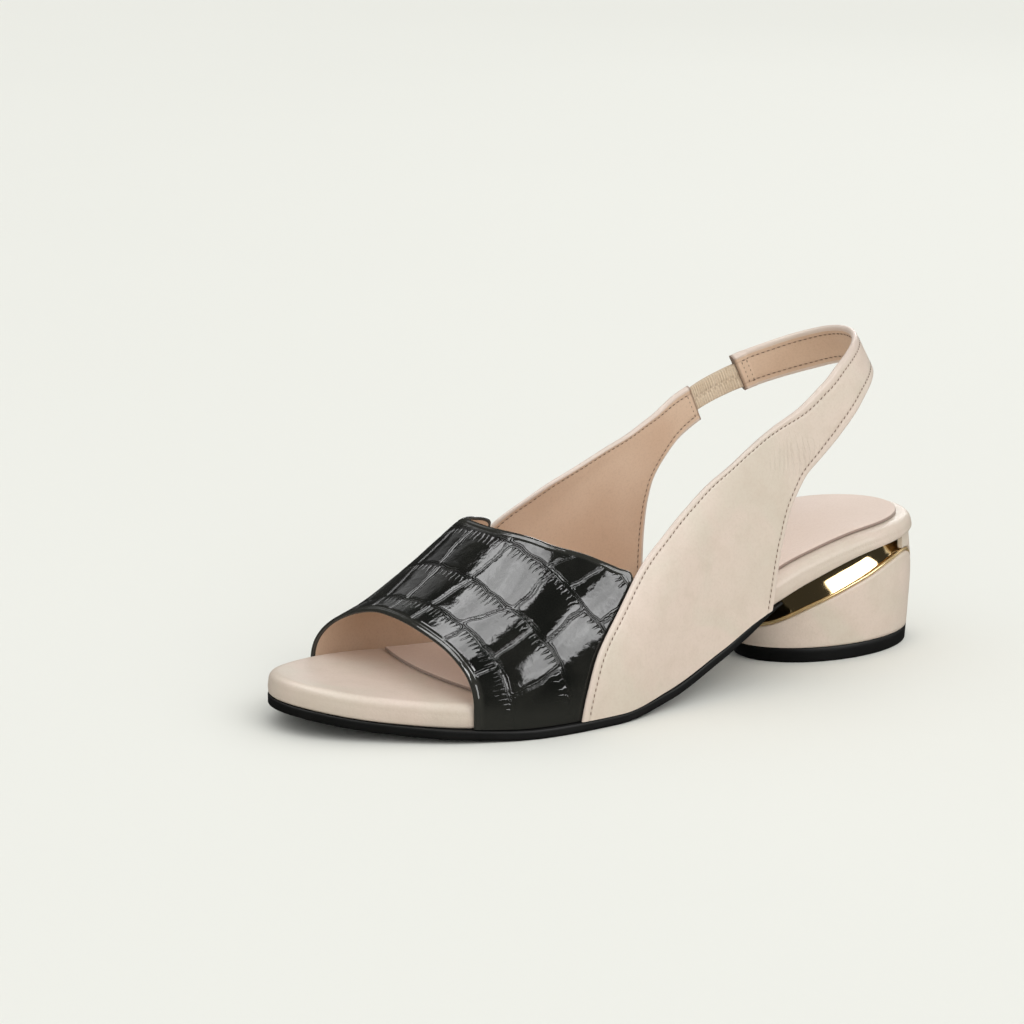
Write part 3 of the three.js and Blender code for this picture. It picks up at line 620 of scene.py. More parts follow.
def scatter(u, v, scale, layer):
    """Smooth noise over two coordinates, about -1 to 1, the same on every run"""
    points = zip(u * scale, v * scale)
    return np.array([noise.noise(Vector((a, b, layer * NOISE_LAYER_GAP))) for a, b in points])


def scale_cells(depth, around):
    """Where a point lies among the scales, depth in millimetres behind the front edge: its row and
    cell as numbers with fractions, and the millimetres that one row and one cell take there"""
    borders = [np.full_like(depth, FIRST_BORDER)]
    borders += [border(around) for border in curves(SCALE_BORDERS)]
    borders.append(borders[-1] + LAST_ROW_DEPTH)
    row = sum((depth > border).astype(int) for border in borders[1:4])
    front, rear = np.choose(row, borders[:4]), np.choose(row, borders[1:5])
    share = np.clip((depth - front) / (rear - front), 0, 1)
    cell, cell_share = np.zeros_like(depth), np.ones_like(depth)
    for number, sides in enumerate(SCALE_SIDES):
        lines = np.outer(sides["front"], 1 - share) + np.outer(sides["rear"], share)
        left = np.clip((around > lines).sum(axis=0) - 1, 0, len(lines) - 2)
        low = np.take_along_axis(lines, left[None], 0)[0]
        high = np.take_along_axis(lines, left[None] + 1, 0)[0]
        here = row == number
        cell = np.where(here, left + (around - low) / (high - low), cell)
        cell_share = np.where(here, high - low, cell_share)
    return row + share, cell, rear - front, cell_share * (FRONT_RUN + RUN_GAIN * depth)


def vamp_cells(u, row):
    """The scale cells at the vamp's corners, with the outlines of the scales gently wandering"""
    depth = across_band(VAMP_SECTION, row, vamp_depth(u))[0] / MM
    run = vamp_run(u, row)
    along = depth + scatter(depth, run, 0.2, 1) * 0.7 + scatter(depth, run, 0.8, 2) * 0.14
    around = u + (scatter(depth, run, 0.17, 3) * 0.9 + scatter(depth, run, 0.8, 4) * 0.2) / MEAN_RUN
    return scale_cells(along, around)


def from_borders(number, millimetres):
    """Distance in millimetres from the nearest whole number"""
    return np.abs(number - np.rint(number)) * millimetres


def scale_relief(u, row):
    """Height in millimetres of the crocodile emboss over plain leather"""
    cell_row, cell, row_mm, cell_mm = vamp_cells(u, row)
    cross, beside = from_borders(cell_row, row_mm), from_borders(cell, cell_mm)
    edge = np.clip(-0.9 * np.log(np.exp(-cross / 0.9) + np.exp(-beside / 0.9)), 0, None)
    nearest = np.minimum(cross, beside)
    channel = np.exp(-((nearest / CHANNEL_HALF) ** 2))
    crown = 1 - np.exp(-edge / 1.7)
    return SCALE_CROWN * (crown - 0.8) - CHANNEL_DEPTH * channel


def emboss_share_and_painted_reflection(u, row):
    """1 where the emboss is full, less towards the foot of the vamp's sides and its hems. Where it is less,
    the patent's black is lightened as a painted reflection of the pale floor
    """
    _, edge, height = across_band(VAMP_SECTION, row, vamp_depth(u))
    sides = smooth_step(0.015, 0.08, u) * (1 - smooth_step(0.94, 0.985, u))
    return (0.3 + 0.7 * sides) * smooth_step(2.2 * MM, 3.6 * MM, edge) * (height > 0.99)


def vamp_place(u, row):
    depth = vamp_depth(u)
    distance, edge, height = across_band(VAMP_SECTION, row, depth)
    crease = np.exp(-(((edge - HEM_CREASE) / HEM_CREASE_HALF) ** 2)) * (height > 0.99)
    roll = HEM_ROLL * (np.clip(1 - edge / HEM_ROLL_WIDTH, 0, 1) * height) ** 2
    lift = VAMP_THICKNESS * height - HEM_CREASE_DEPTH * crease - roll
    lift += scale_relief(u, row) * MM * emboss_share_and_painted_reflection(u, row)
    along = distance / depth
    return vamp_base(along, u) + vamp_normal(along, u) * lift[:, None]


def vamp_inside(u, row):
    _, edge, height = across_band(VAMP_SECTION, row, vamp_depth(u))
    return (height < 0.01) & (edge > LINING_INSET)


def cell_mark(which):
    """One of the four values of the scale cells, as a mark"""
    return lambda u, row: vamp_cells(u, row)[which]


def line_inside(piece, finish):
    """Gives the faces marked as lining their own finish"""
    piece.data.materials.append(finish)
    marks = np.zeros(len(piece.data.vertices))
    piece.data.attributes["lining"].data.foreach_get("value", marks)
    for face in piece.data.polygons:
        if all(marks[corner] > 0.5 for corner in face.vertices):
            face.material_index = 1


def patent_leather():
    """Black patent: a hard clear lacquer over leather embossed with scales. Between scales run two
    fine cords, and tapering notches bite into the rear end of each scale."""
    material, wire, feed = new_finish("croc_patent", IOR=1.52)
    haze = wire.noise(55.0, 4.0).step(0.35, 0.75)
    cell_row, cell, depth = wire.mark("cell_row"), wire.mark("cell"), wire.mark("plain")
    tone = haze.blend((0.007, 0.0075, 0.0065, 1), (0.018, 0.018, 0.0155, 1))
    # Lighter black where the emboss fades, at the foot of the sides and on the hems: a painted reflection of
    # the pale floor
    feed("Base Color", (1.0 - depth).blend(tone, (0.030, 0.030, 0.026, 1)))
    feed("Roughness", 0.035 + haze * 0.03)
    row_mm, cell_mm, run = wire.mark("row_mm"), wire.mark("cell_mm"), wire.mark("run")
    cross = wire.math("ABSOLUTE", cell_row - wire.math("ROUND", cell_row)) * row_mm
    beside = wire.math("ABSOLUTE", cell - wire.math("ROUND", cell)) * cell_mm
    nearest = wire.math("SMOOTH_MIN", cross, beside, 1.4)
    shoulder = nearest.step(0.72, 1.0)
    crease = nearest.step(0.0, 0.35)
    cord = nearest.step(0.3, 0.45) - nearest.step(0.5, 0.68)
    to_rear = (wire.math("CEIL", cell_row) - cell_row) * row_mm
    ragged = wire.noise(300.0, 2.0)
    reach = 1.6 + wire.noise(190.0, 1.0) * 5.0
    comb = wire.math("COSINE", run * 3.2 + ragged * 6.0)
    tooth = wire.math("MAXIMUM", comb - to_rear / reach * 1.8 + 0.85, 0.0)
    notch = tooth * to_rear.step(0.8, 1.1) * beside.step(0.9, 1.7)
    lobes = wire.noise(130.0, 2.0, Distortion=0.5)
    wrinkle = wire.noise(420.0, 5.0, Distortion=0.6)
    height = (shoulder * 0.13 + crease * 0.09 + cord * 0.05 - notch * 0.17) * depth
    feed("Normal", wire.bump(height + lobes * 0.14 + wrinkle * 0.05, 1.0, 1 * MM))
    return material


def tan_lining():
    """Tan lining leather, matt, with fine pores and cloudy wear"""
    material, wire, feed = new_finish(
        "tan_lining", Specular_IOR_Level=0.35, Sheen_Weight=0.12, Sheen_Roughness=0.5
    )
    cloud = wire.noise(30.0, 4.0).step(0.3, 0.7)
    tone = cloud.blend((0.65, 0.46, 0.325, 1), (0.72, 0.54, 0.40, 1))
    grain = wire.noise(1500.0, 3.0)
    tone = (grain.step(0.4, 0.8) * 0.18).blend(tone, (0.38, 0.235, 0.15, 1))
    # Painted shade in the stitch groove along each seam
    tone = (wire.mark("seam_shade") * 0.5).blend(tone, (0.27, 0.16, 0.10, 1))
    tone = (wire.mark("end") * 0.8).blend(tone, (0.16, 0.09, 0.055, 1))
    feed("Base Color", tone)
    feed("Roughness", 0.62 + grain * 0.14)
    feed("Normal", wire.bump(grain + wire.noise(330.0, 3.0), 0.28, 0.1 * MM))
    return material


LINING = tan_lining()
vamp = lay_grid(
    "vamp_croc",
    patent_leather(),
    VAMP_COLUMNS,
    len(VAMP_SECTION) - 1,
    vamp_place,
    lining=vamp_inside,
    plain=emboss_share_and_painted_reflection,
    run=vamp_run,
    **{mark: cell_mark(k) for k, mark in enumerate(("cell_row", "cell", "row_mm", "cell_mm"))},
)
line_inside(vamp, LINING)
settle(vamp, "patent_leather", "vamp")


# Outer quarter and heel strap: one long nude leather panel from the sole, up over the vamp's
# corner and round the heel. Its edges are folded and sewn to a tan lining, and it ends in a
# folded tab on the inner side.
STRAP_HEIGHT = 66 * MM
STRAP_LEAN = 24 * MM
LEAN_POWER = 1.5
LEAN_SHARES = (0.173, 0.418)
HEEL_CURVE = 52 * MM
QUARTER_THICKNESS = 2.1 * MM
LAP_THICKNESS = 1.3 * MM
TAB_LENGTH = 5 * MM
TAB_STEP = 0.35 * MM
QUARTER_RIM = 0.9 * MM
SEAM_INSET = 2.6 * MM
SEAM_DIP = 0.16 * MM
SEAM_DIP_HALF = 0.5 * MM
OUTER_EDGES = {
    "top_run": [0.742, 0.733, 0.714, 0.678, 0.628, 0.585, 0.543, 0.491, 0.413, 0.336,
                0.268, 0.214, 0.169, 0.121, 0.07, 0.018, -0.035, -0.094, -0.147, -0.2],
    "top_rise": [0, 0.14, 0.303, 0.46, 0.634, 0.741, 0.82, 0.878, 0.88, 0.862,
                 0.872, 0.937, 1.011, 1.062, 1.092, 1.102, 1.086, 1.041, 0.99, 0.946],
    "low_run": [0.396, 0.39, 0.383, 0.375, 0.366, 0.356, 0.343, 0.322, 0.299, 0.261,
                0.226, 0.182, 0.146, 0.104, 0.062, 0.018, -0.035, -0.09, -0.144, -0.196],
    "low_rise": [0, 0.1, 0.197, 0.28, 0.341, 0.4, 0.454, 0.51, 0.559, 0.607,
                 0.664, 0.755, 0.822, 0.868, 0.89, 0.893, 0.88, 0.833, 0.786, 0.746],
}
LAP_ENDS = {"full_row": 4.2, "clear_row": 8.0, "full_across": 0.16, "clear_across": 0.5}


def round_heel(run, rise):
    """Point of the last at a run forward from the heel's back and a rise over the seat"""
    side = np.where(run < 0, -1.0, 1.0)
    turn = np.clip(np.abs(run) / HEEL_CURVE, 0, 1) * np.pi / 2
    straight = np.clip(np.abs(run) - HEEL_CURVE, 0, None)
    x = -LENGTH / 2 + HEEL_ROUND * (1 - np.cos(turn)) + straight
    ridge, high, power = last_section(x)
    t = np.clip((rise - SIDE_WALL) / (high - SIDE_WALL), 0, 0.999)
    across = (1 - t**power) ** (1 / power)
    fade = 1 - smooth_step(*LEAN_SHARES, share_of(x))
    lean = STRAP_LEAN * np.clip(rise / STRAP_HEIGHT, 0, None) ** LEAN_POWER * fade
    reach = half_width(x) + GAP - side * (ridge - centre_line(x))
    y = ridge + side * reach * across * np.sin(turn)
    return np.stack([x + lean, y, seat_line(x) + BEND_CLEARANCE + rise], axis=-1)


def heel_normal(run, rise):
    step = 0.6 * MM
    upward = round_heel(run, rise + step) - round_heel(run, rise - step)
    forward = round_heel(run + step, rise) - round_heel(run - step, rise)
    return unit(np.cross(upward, forward))


def edge_line(edges, which):
    """Smooth curve through one edge's points, as run and rise over the length of its table"""
    runs = np.array(edges[which + "_run"]) * LENGTH
    rises = np.array(edges[which + "_rise"]) * STRAP_HEIGHT
    points = np.stack([runs, rises], axis=-1)

    def value(u):
        place = np.clip(u, 0, 1) * (len(points) - 1)
        k = np.clip(place.astype(int), 0, len(points) - 2)
        t = (place - k)[:, None]
        before, first = points[np.clip(k - 1, 0, None)], points[k]
        second, after = points[k + 1], points[np.clip(k + 2, None, len(points) - 1)]
        lead, trail = (second - before) / 2, (after - first) / 2
        curve = (2 * first - 2 * second + lead + trail) * t**3
        curve += (-3 * first + 3 * second - 2 * lead - trail) * t**2
        return curve + lead * t + first

    return value


def lap_share(u, v, rows):
    """How far a quarter is lifted over the vamp that it laps: 1 at the lap, 0 away from it"""
    up = 1 - smooth_step(LAP_ENDS["full_row"], LAP_ENDS["clear_row"], u * (rows - 1))
    return up * (1 - smooth_step(LAP_ENDS["full_across"], LAP_ENDS["clear_across"], v))


class Panel:
    """A leather panel on the last, between two edge lines, with folded and sewn edges"""

    def __init__(self, edges, columns, middle, tab=0.0, crease_row=None):
        self.rows = len(edges["top_run"])
        self.top, self.low = edge_line(edges, "top"), edge_line(edges, "low")
        self.columns = columns
        fine = np.linspace(0, 1, 801)
        top, low = self.top(fine), self.low(fine)
        self.depths = np.linalg.norm(top - low, axis=-1)
        centre = (top + low) / 2
        steps = np.linalg.norm(np.diff(centre, axis=0), axis=-1)
        self.runs = np.concatenate([[0], np.cumsum(steps)])
        self.fine = fine
        near = [k * 0.4 * MM for k in range(3, 11)]
        self.section = folded_section(near, middle, 10, QUARTER_RIM)
        self.tab = tab
        self.crease_row = crease_row

    def share(self, u):
        """Even steps along the panel's middle line"""
        return np.interp(u * self.runs[-1], self.runs, self.fine)

    def depth(self, at):
        return np.interp(at, self.fine, self.depths)

    def point(self, at, distance, lift):
        """Point at a share along the panel, a distance from its top edge and a height"""
        v = (distance / self.depth(at))[:, None]
        place = self.top(at) * (1 - v) + self.low(at) * v
        run, rise = place.T
        normal = heel_normal(run, rise)
        flat = at < 1e-6
        normal[flat, 2] = 0
        normal = unit(normal)
        return round_heel(run, rise) + normal * lift[:, None], normal

    def heights(self, at, distance):
        """Heights of the panel's inner and outer faces over the last"""
        lap = lap_share(at, distance / self.depth(at), self.rows)
        inner = (VAMP_THICKNESS + 1.5 * GAP) * lap
        outer = inner + QUARTER_THICKNESS + (LAP_THICKNESS - QUARTER_THICKNESS) * lap
        in_tab = smooth_step(self.tab - 0.25 * MM, self.tab, 2 * self.tab - self.left(at)) if self.tab else 0
        return inner - TAB_STEP * in_tab, outer + TAB_STEP * in_tab

    def left(self, at):
        """Way left to the panel's far end"""
        return self.runs[-1] - np.interp(at, self.fine, self.runs)

    def across(self, u, row):
        """Share along the panel, distance from its top edge and nearer edge, and height share"""
        at = self.share(u)
        return at, *across_band(self.section, row, self.depth(at))

    def place(self, u, row):
        at, distance, edge, height = self.across(u, row)
        inner, outer = self.heights(at, distance)
        dip = SEAM_DIP * np.exp(-(((edge - SEAM_INSET) / SEAM_DIP_HALF) ** 2))
        facing = np.where(height > 0.99, -1.0, np.where(height < 0.01, 1.0, 0.0))
        lift = inner + (outer - inner) * height + facing * dip
        return self.point(at, distance, lift)[0]

    def rim_tint_and_highlight_mark(self, u, row):
        # Folded rim: tinted pinker and lightened as a painted highlight
        edge = self.across(u, row)[2]
        return 1 - smooth_step(1.0 * MM, 2.4 * MM, edge)

    def seam_shade_mark(self, u, row):
        # Painted shade in the stitch groove
        edge = self.across(u, row)[2]
        return np.exp(-(((edge - SEAM_INSET) / (0.28 * MM)) ** 2)) * 0.7

    def inside_mark(self, u, row):
        _, _, edge, height = self.across(u, row)
        return (height < 0.01) & (edge > LINING_INSET)

    def end_mark(self, u, row):
        """1 at the cut far end"""
        return 1 - smooth_step(0.3 * MM, 1.0 * MM, self.left(self.share(u)))

    def fold_mark(self, u, row):
        """Millimetres across the fine creases that run up from the low edge where the strap bends"""
        at, distance, _, _ = self.across(u, row)
        along = np.interp(at, self.fine, self.runs)
        return (along * 0.8 + distance * 0.6) / MM

    def creased_mark(self, u, row):
        """1 in the middle of the creased patch"""
        if self.crease_row is None:
            return np.zeros_like(u)
        at, distance, _, height = self.across(u, row)
        across = distance / self.depth(at)
        patch = ((at * (self.rows - 1) - self.crease_row) / 0.9) ** 2 + ((across - 0.7) / 0.28) ** 2
        return np.exp(-patch) * (height > 0.99)

    def build(self, name):
        rows = len(self.section) - 1
        marks = {"rim": self.rim_tint_and_highlight_mark, "seam_shade": self.seam_shade_mark, "lining": self.inside_mark}
        marks.update(end=self.end_mark, fold=self.fold_mark, creased=self.creased_mark)
        piece = lay_grid(name, NUDE, self.columns, rows, self.place, **marks)
        line_inside(piece, LINING)
        return piece


OUTER = Panel(OUTER_EDGES, 360, 34, tab=TAB_LENGTH, crease_row=8.5)
outer_quarter = OUTER.build("outer_quarter_leather")
settle(outer_quarter, "nude_leather", "outer_quarter_strap")


# Inner quarter: the short panel of the inner side, cut square at its top end, where the
# elastic goes in between the leather and the lining.
INNER_EDGES = {
    "top_run": [-0.757, -0.75, -0.735, -0.71, -0.678, -0.635, -0.58, -0.495, -0.39, -0.291],
    "top_rise": [0, 0.144, 0.334, 0.534, 0.703, 0.808, 0.888, 0.916, 0.881, 0.88],
    "low_run": [-0.437, -0.437, -0.436, -0.434, -0.43, -0.424, -0.412, -0.388, -0.347, -0.287],
    "low_rise": [0, 0.1, 0.19, 0.29, 0.39, 0.47, 0.55, 0.605, 0.65, 0.68],
}
INNER = Panel(INNER_EDGES, 200, 34)
inner_quarter = INNER.build("inner_quarter_leather")
settle(inner_quarter, "nude_leather", "inner_quarter")


# Seams: a row of short taupe stitches runs inside every folded edge, through leather and
# lining, and turns across the end of the inner quarter and of the tab.
STITCH_PITCH = 1.95 * MM
STITCH_LENGTH = 1.35 * MM
STITCH_THICK = 0.42 * MM
STITCH_SLANT = math.radians(9)
STITCH_PROUD = 0.02 * MM
SEAM_START = 0.012
SEAM_STEPS = 900
END_STEPS = 60


def add_stitch(shape, matrix):
    """A round stitch from a grid wrapped into a ball. Its corners come in the same order on every
    run, which those of the sphere operator do not."""
    corners = bmesh.ops.create_grid(shape, x_segments=6, y_segments=5, size=0.5)["verts"]
    for corner in corners:
        around, down = math.pi * (2 * corner.co.x + 1.5), math.pi * (corner.co.y + 0.5)
        level = math.sin(down)
        corner.co = matrix @ Vector((level * math.cos(around), level * math.sin(around), math.cos(down)))
    bmesh.ops.remove_doubles(shape, verts=corners, dist=WELD)


def sew(shape, panel, at, distance, outside):
    """Lays stitches along a line of the panel, given by its share and distance from the edge"""
    inner, outer = panel.heights(at, distance)
    lift = outer - SEAM_DIP + STITCH_PROUD if outside else inner + SEAM_DIP - STITCH_PROUD
    points, normals = panel.point(at, distance, lift)
    steps = np.linalg.norm(np.diff(points, axis=0), axis=-1)
    run = np.concatenate([[0], np.cumsum(steps)])
    for place in np.arange(STITCH_PITCH / 2, run[-1], STITCH_PITCH):
        middle = Vector([np.interp(place, run, points[:, k]) for k in range(3)])
        ahead = Vector([np.interp(place + 0.5 * MM, run, points[:, k]) for k in range(3)])
        up = Vector([np.interp(place, run, normals[:, k]) for k in range(3)]).normalized()
        forward = (ahead - middle).normalized()
        forward = (Matrix.Rotation(STITCH_SLANT, 3, up) @ forward).normalized()
        side = up.cross(forward).normalized()
        turned = Matrix((forward, side, forward.cross(side))).transposed().to_4x4()
        size = Matrix.Diagonal((STITCH_LENGTH / 2, STITCH_THICK / 2, STITCH_THICK / 2, 1))
        where = Matrix.Translation(middle + Vector((MIDDLE_X, AXIS_Y, 0)))
        add_stitch(shape, where @ turned @ size)


def sew_panel(name, finish, panel, end_rows):
    """All the stitches of one panel, outside and inside, as one piece"""
    shape = bmesh.new()
    at = np.linspace(SEAM_START, end_rows[-1], SEAM_STEPS)
    depth = panel.depth(at)
    for outside in (True, False):
        sew(shape, panel, at, np.full_like(at, SEAM_INSET), outside)
        sew(shape, panel, at, depth - SEAM_INSET, outside)
        for end in end_rows:
            end_depth = float(panel.depth(np.array([end]))[0])
            end_run = np.linspace(SEAM_INSET, end_depth - SEAM_INSET, END_STEPS)
            sew(shape, panel, np.full(END_STEPS, end), end_run, outside)
    bmesh.ops.recalc_face_normals(shape, faces=shape.faces)
    for face in shape.faces:
        face.smooth = True
    return add_piece(name, shape, finish)


def taupe_thread():
    """Twisted taupe thread, darker in the twist"""
    material, wire, feed = new_finish("taupe_thread", Sheen_Weight=0.3, Sheen_Roughness=0.4)
    twist = wire.noise(2200.0, 1.0)
    feed("Base Color", twist.step(0.3, 0.7).blend((0.12, 0.075, 0.05, 1), (0.25, 0.165, 0.115, 1)))
    feed("Roughness", 0.62 + twist * 0.2)
    feed("Normal", wire.bump(twist, 0.5, 0.08 * MM))
    return material


THREAD = taupe_thread()


def end_share(panel, back):
    """Share along a panel that lies a given way before its far end"""
    return float(np.interp(panel.runs[-1] - back, panel.runs, panel.fine))


for seam_name, seam_panel, seam_backs in (
    ("outer_quarter_seams", OUTER, (4.6 * MM, SEAM_INSET)),
    ("inner_quarter_seams", INNER, (SEAM_INSET,)),
):
    seam_ends = [end_share(seam_panel, back) for back in seam_backs]
    seams = sew_panel(seam_name, THREAD, seam_panel, seam_ends)
    settle(seams, "nude_leather")


# Elastic: a cream woven band, ruched into fine ribs, that joins the tab to the inner quarter.
# The ribs pucker along its middle on the inside.
ELASTIC_THICKNESS = 1.3 * MM
RIB_PITCH = 1.05 * MM
RIB_HEIGHT = 0.3 * MM
ELASTIC_SPREAD = {
    "along": [0.0, 0.5, 1.0],
    "top": [0.22, 0.155, 0.07],
    "low": [0.91, 0.82, 0.72],
}
ELASTIC_OVERRUN = 0.08
ELASTIC_COLUMNS = 240
ELASTIC_SECTION = 52
ELASTIC_RUN = 22 * MM
elastic_top, elastic_low = curves(ELASTIC_SPREAD)


def elastic_section(row):
    """Share round the band's section, and share across the band from its top edge"""
    turn = row / ELASTIC_SECTION
    return turn, np.clip(np.abs(2 * turn - 1) * 1.08 - 0.04, 0, 1)


def elastic_place(u, row):
    """Grid point: u runs from the tab to the inner quarter, rows go round the band's section"""
    turn, across = elastic_section(row)
    outside = np.where(turn < 0.5, 1.0, -1.0)
    rounding = np.sqrt(np.clip(1 - (2 * across - 1) ** 14, 0, 1))
    along = u * (1 + 2 * ELASTIC_OVERRUN) - ELASTIC_OVERRUN
    kept = np.clip(along, 0, 1)
    share = elastic_top(kept) + (elastic_low(kept) - elastic_top(kept)) * across

    def end(table, which):
        return np.array([table[which + "_run"][-1] * LENGTH, table[which + "_rise"][-1] * STRAP_HEIGHT])

    def end_point(table):
        return end(table, "top") * (1 - share[:, None]) + end(table, "low") * share[:, None]

    place = end_point(OUTER_EDGES) * (1 - along[:, None]) + end_point(INNER_EDGES) * along[:, None]
    run, rise = place.T
    pucker = np.where(outside < 0, np.exp(-(((across - 0.5) / 0.1) ** 2)), 0)
    phase = run / RIB_PITCH + 0.5 * smooth_step(0.42, 0.58, across) + 0.06 * np.sin(run / (2.3 * MM))
    rib = RIB_HEIGHT * (0.5 + 0.5 * np.cos(2 * np.pi * phase)) * rounding
    middle = QUARTER_THICKNESS / 2
    lift = middle + outside * (ELASTIC_THICKNESS / 2 * rounding + rib * 0.6 - pucker * 0.25 * MM)
    return round_heel(run, rise) + heel_normal(run, rise) * lift[:, None]


def elastic_valleys(u, row):
    """1 between the ribs and at the band's edges, where it darkens the band as painted shade, and on the
    zigzag of the gathering thread
    """
    turn, across = elastic_section(row)
    run = u * ELASTIC_RUN
    between = 0.5 - 0.5 * np.cos(2 * np.pi * (run / RIB_PITCH + 0.5 * smooth_step(0.42, 0.58, across)))
    zigzag = 0.5 + 0.06 * np.sign(np.sin(2 * np.pi * run / (2 * RIB_PITCH)))
    sewn = np.exp(-(((across - zigzag) / 0.03) ** 2)) * (turn > 0.5)
    rim = 1 - smooth_step(0.0, 0.07, np.minimum(across, 1 - across))
    return np.clip(between * 0.55 + sewn + rim * 0.8, 0, 1)


def cream_elastic():
    """Cream woven elastic with a fine thread grain, painted shade between its ribs and at its edges, and a
    darker gathering thread
    """
    material, wire, feed = new_finish("cream_elastic", Sheen_Weight=0.4, Sheen_Roughness=0.5)
    fuzz = wire.noise(1800.0, 3.0)
    slow = wire.noise(160.0, 2.0).step(0.3, 0.7)
    tone = slow.blend((0.69, 0.565, 0.415, 1), (0.77, 0.65, 0.50, 1))
    tone = (fuzz.step(0.4, 0.8) * 0.35).blend(tone, (0.42, 0.33, 0.22, 1))
    # Painted shade between the ribs and at the edges, plus the darker gathering thread
    feed("Base Color", (wire.mark("valley") * 0.6).blend(tone, (0.36, 0.26, 0.17, 1)))
    feed("Roughness", 0.82 + fuzz * 0.1)
    feed("Normal", wire.bump(fuzz, 0.5, 0.12 * MM))
    return material


elastic = lay_grid(
    "elastic_band", cream_elastic(), ELASTIC_COLUMNS, ELASTIC_SECTION, elastic_place, valley=elastic_valleys
)
settle(elastic, "elastic_webbing", "elastic")


# Heel: an oval block. Its lower part is a shell covered in nude leather and cut on a slant,
# edged with a gold bead. Above the cut shows a polished gold core, and behind it a leather spine.
LIFT_HEIGHT = 5.3 * MM
SHELL_RIM = 1.6 * MM
CUP_FLOOR = 9 * MM
BEAD_RADIUS = 0.55 * MM
BEAD_SETBACK = 0.1 * MM
SPINE_TURN = 0.69
SLANT = {
    "turn": [0.0, 0.167, 0.333, 0.5, 0.61, 0.7, 0.75, 0.8, 0.85, 0.91, 1.0],
    "rise": [0.3, 0.375, 0.572, 0.785, 0.895, 0.94, 0.925, 0.845, 0.71, 0.6, 0.54],
}
slant_share = through(SLANT, "turn", "rise")


def heel_point(turn, z, inset):
    """Point of the heel's outside. turn: 0 at the front, 1 at the back, negative inside."""
    angle = np.pi * turn
    rise = z / SEAT_RISE
    share = np.where(np.cos(angle) > 0, heel_front_share(rise), heel_back_share(rise))
    x = HEEL_CENTRE + (HEEL_LENGTH * share - inset) * np.cos(angle)
    y = (HEEL_WIDTH * heel_half_share(rise) - inset) * np.sin(angle)
    return np.stack([x, y, z], axis=-1)


def pull_in(point, pulled):
    """Draws points of the heel towards its middle by a share"""
    point[:, :2] = point[:, :2] * (1 - pulled[:, None]) + np.array([HEEL_CENTRE, 0]) * pulled[:, None]
    return point


def slant_height(turn):
    return SEAT_RISE * slant_share(np.clip(np.abs(turn), 0, 1))


def seat_under(turn):
    """Height of the footbed's underside over the heel, less a clearance"""
    z = np.full_like(turn, SEAT_RISE)
    for _ in range(4):
        z = footbed_under(heel_point(turn, z, 0)[:, 0]) - GAP
    return z


SHELL_ROWS = np.array(
    [(0.0, 0.0, 1.0), (0.0, 0.0, 0.0)]
    + [(t, 0.0, 0.0) for t in np.linspace(0, 1, 25)[1:-1]]
    + [(1.0, SHELL_RIM * 0.5 * (1 - math.cos(a)), 0.0) for a in np.linspace(0, math.pi, 7)]
    + [(0.5, SHELL_RIM, 0.0), (0.0, SHELL_RIM, 0.0), (0.0, SHELL_RIM, 1.0)]
)


def shell_place(u, row):
    share, inset, pulled = SHELL_ROWS[row].T
    turn = 2 * u - 1
    foot = np.where(inset > 0.9 * SHELL_RIM, CUP_FLOOR, LIFT_HEIGHT + GAP)
    crown = 0.35 * MM * np.sin(np.pi * np.clip(inset / SHELL_RIM, 0, 1))
    z = foot + (slant_height(turn) - foot) * share + crown * (share > 0.99)
    return pull_in(heel_point(turn, z, inset), pulled)


CORE_ROWS = 34
CORE_COVE = 3.3 * MM
COVE_POWER = 2.3


def core_place(u, row):
    """The core stands straight in the shell's cup, and above it leans in with a hollow curve"""
    turn = 2 * u - 1
    share = np.clip((row - 1) / (CORE_ROWS - 2), 0, 1)
    pulled = ((row == 0) | (row == CORE_ROWS)).astype(float)
    foot, rim, top = CUP_FLOOR + GAP, slant_height(turn), seat_under(turn)
    z = foot + (top - foot) * share
    up = np.clip((z - rim) / np.maximum(top - rim, 1 * MM), 0, 1)
    inset = SHELL_RIM + 2 * GAP + CORE_COVE * (1 - (1 - up) ** COVE_POWER)
    return pull_in(heel_point(turn, z, inset), pulled)


def bead_height(turn, over):
    """Height of a line laid over the shell's rim, more where the rim runs steeply"""
    step = 0.01
    ahead = heel_point(turn + step, slant_height(turn + step), 0)
    behind = heel_point(turn - step, slant_height(turn - step), 0)
    climb = ahead[:, 2] - behind[:, 2]
    level = np.linalg.norm(ahead[:, :2] - behind[:, :2], axis=-1)
    return slant_height(turn) + over * np.hypot(1, climb / level)


BEAD_SIDES = 10


def bead_place(u, row):
    inset = BEAD_RADIUS + BEAD_SETBACK

    def centre(turn):
        wrapped = (turn + 1) % 2 - 1
        return heel_point(wrapped, bead_height(wrapped, BEAD_RADIUS + 1.5 * GAP), inset)

    turn = 2 * u - 1
    along = unit(centre(turn + 0.004) - centre(turn - 0.004))
    angle = np.pi * turn
    outward = np.stack([np.cos(angle) / HEEL_LENGTH, np.sin(angle) / HEEL_WIDTH, 0 * angle], axis=-1)
    outward -= (outward * along).sum(axis=-1, keepdims=True) * along
    outward = unit(outward)
    upward = np.cross(along, outward)
    around = (2 * np.pi * row / BEAD_SIDES)[:, None]
    return centre(turn) + BEAD_RADIUS * (outward * np.cos(around) + upward * np.sin(around))


SPINE_SECTION = np.array(
    [(0.0, t) for t in np.linspace(0, 1, 13)] + [(1.0, t) for t in np.linspace(1, 0, 5)] + [(0.0, 0.0)]
)


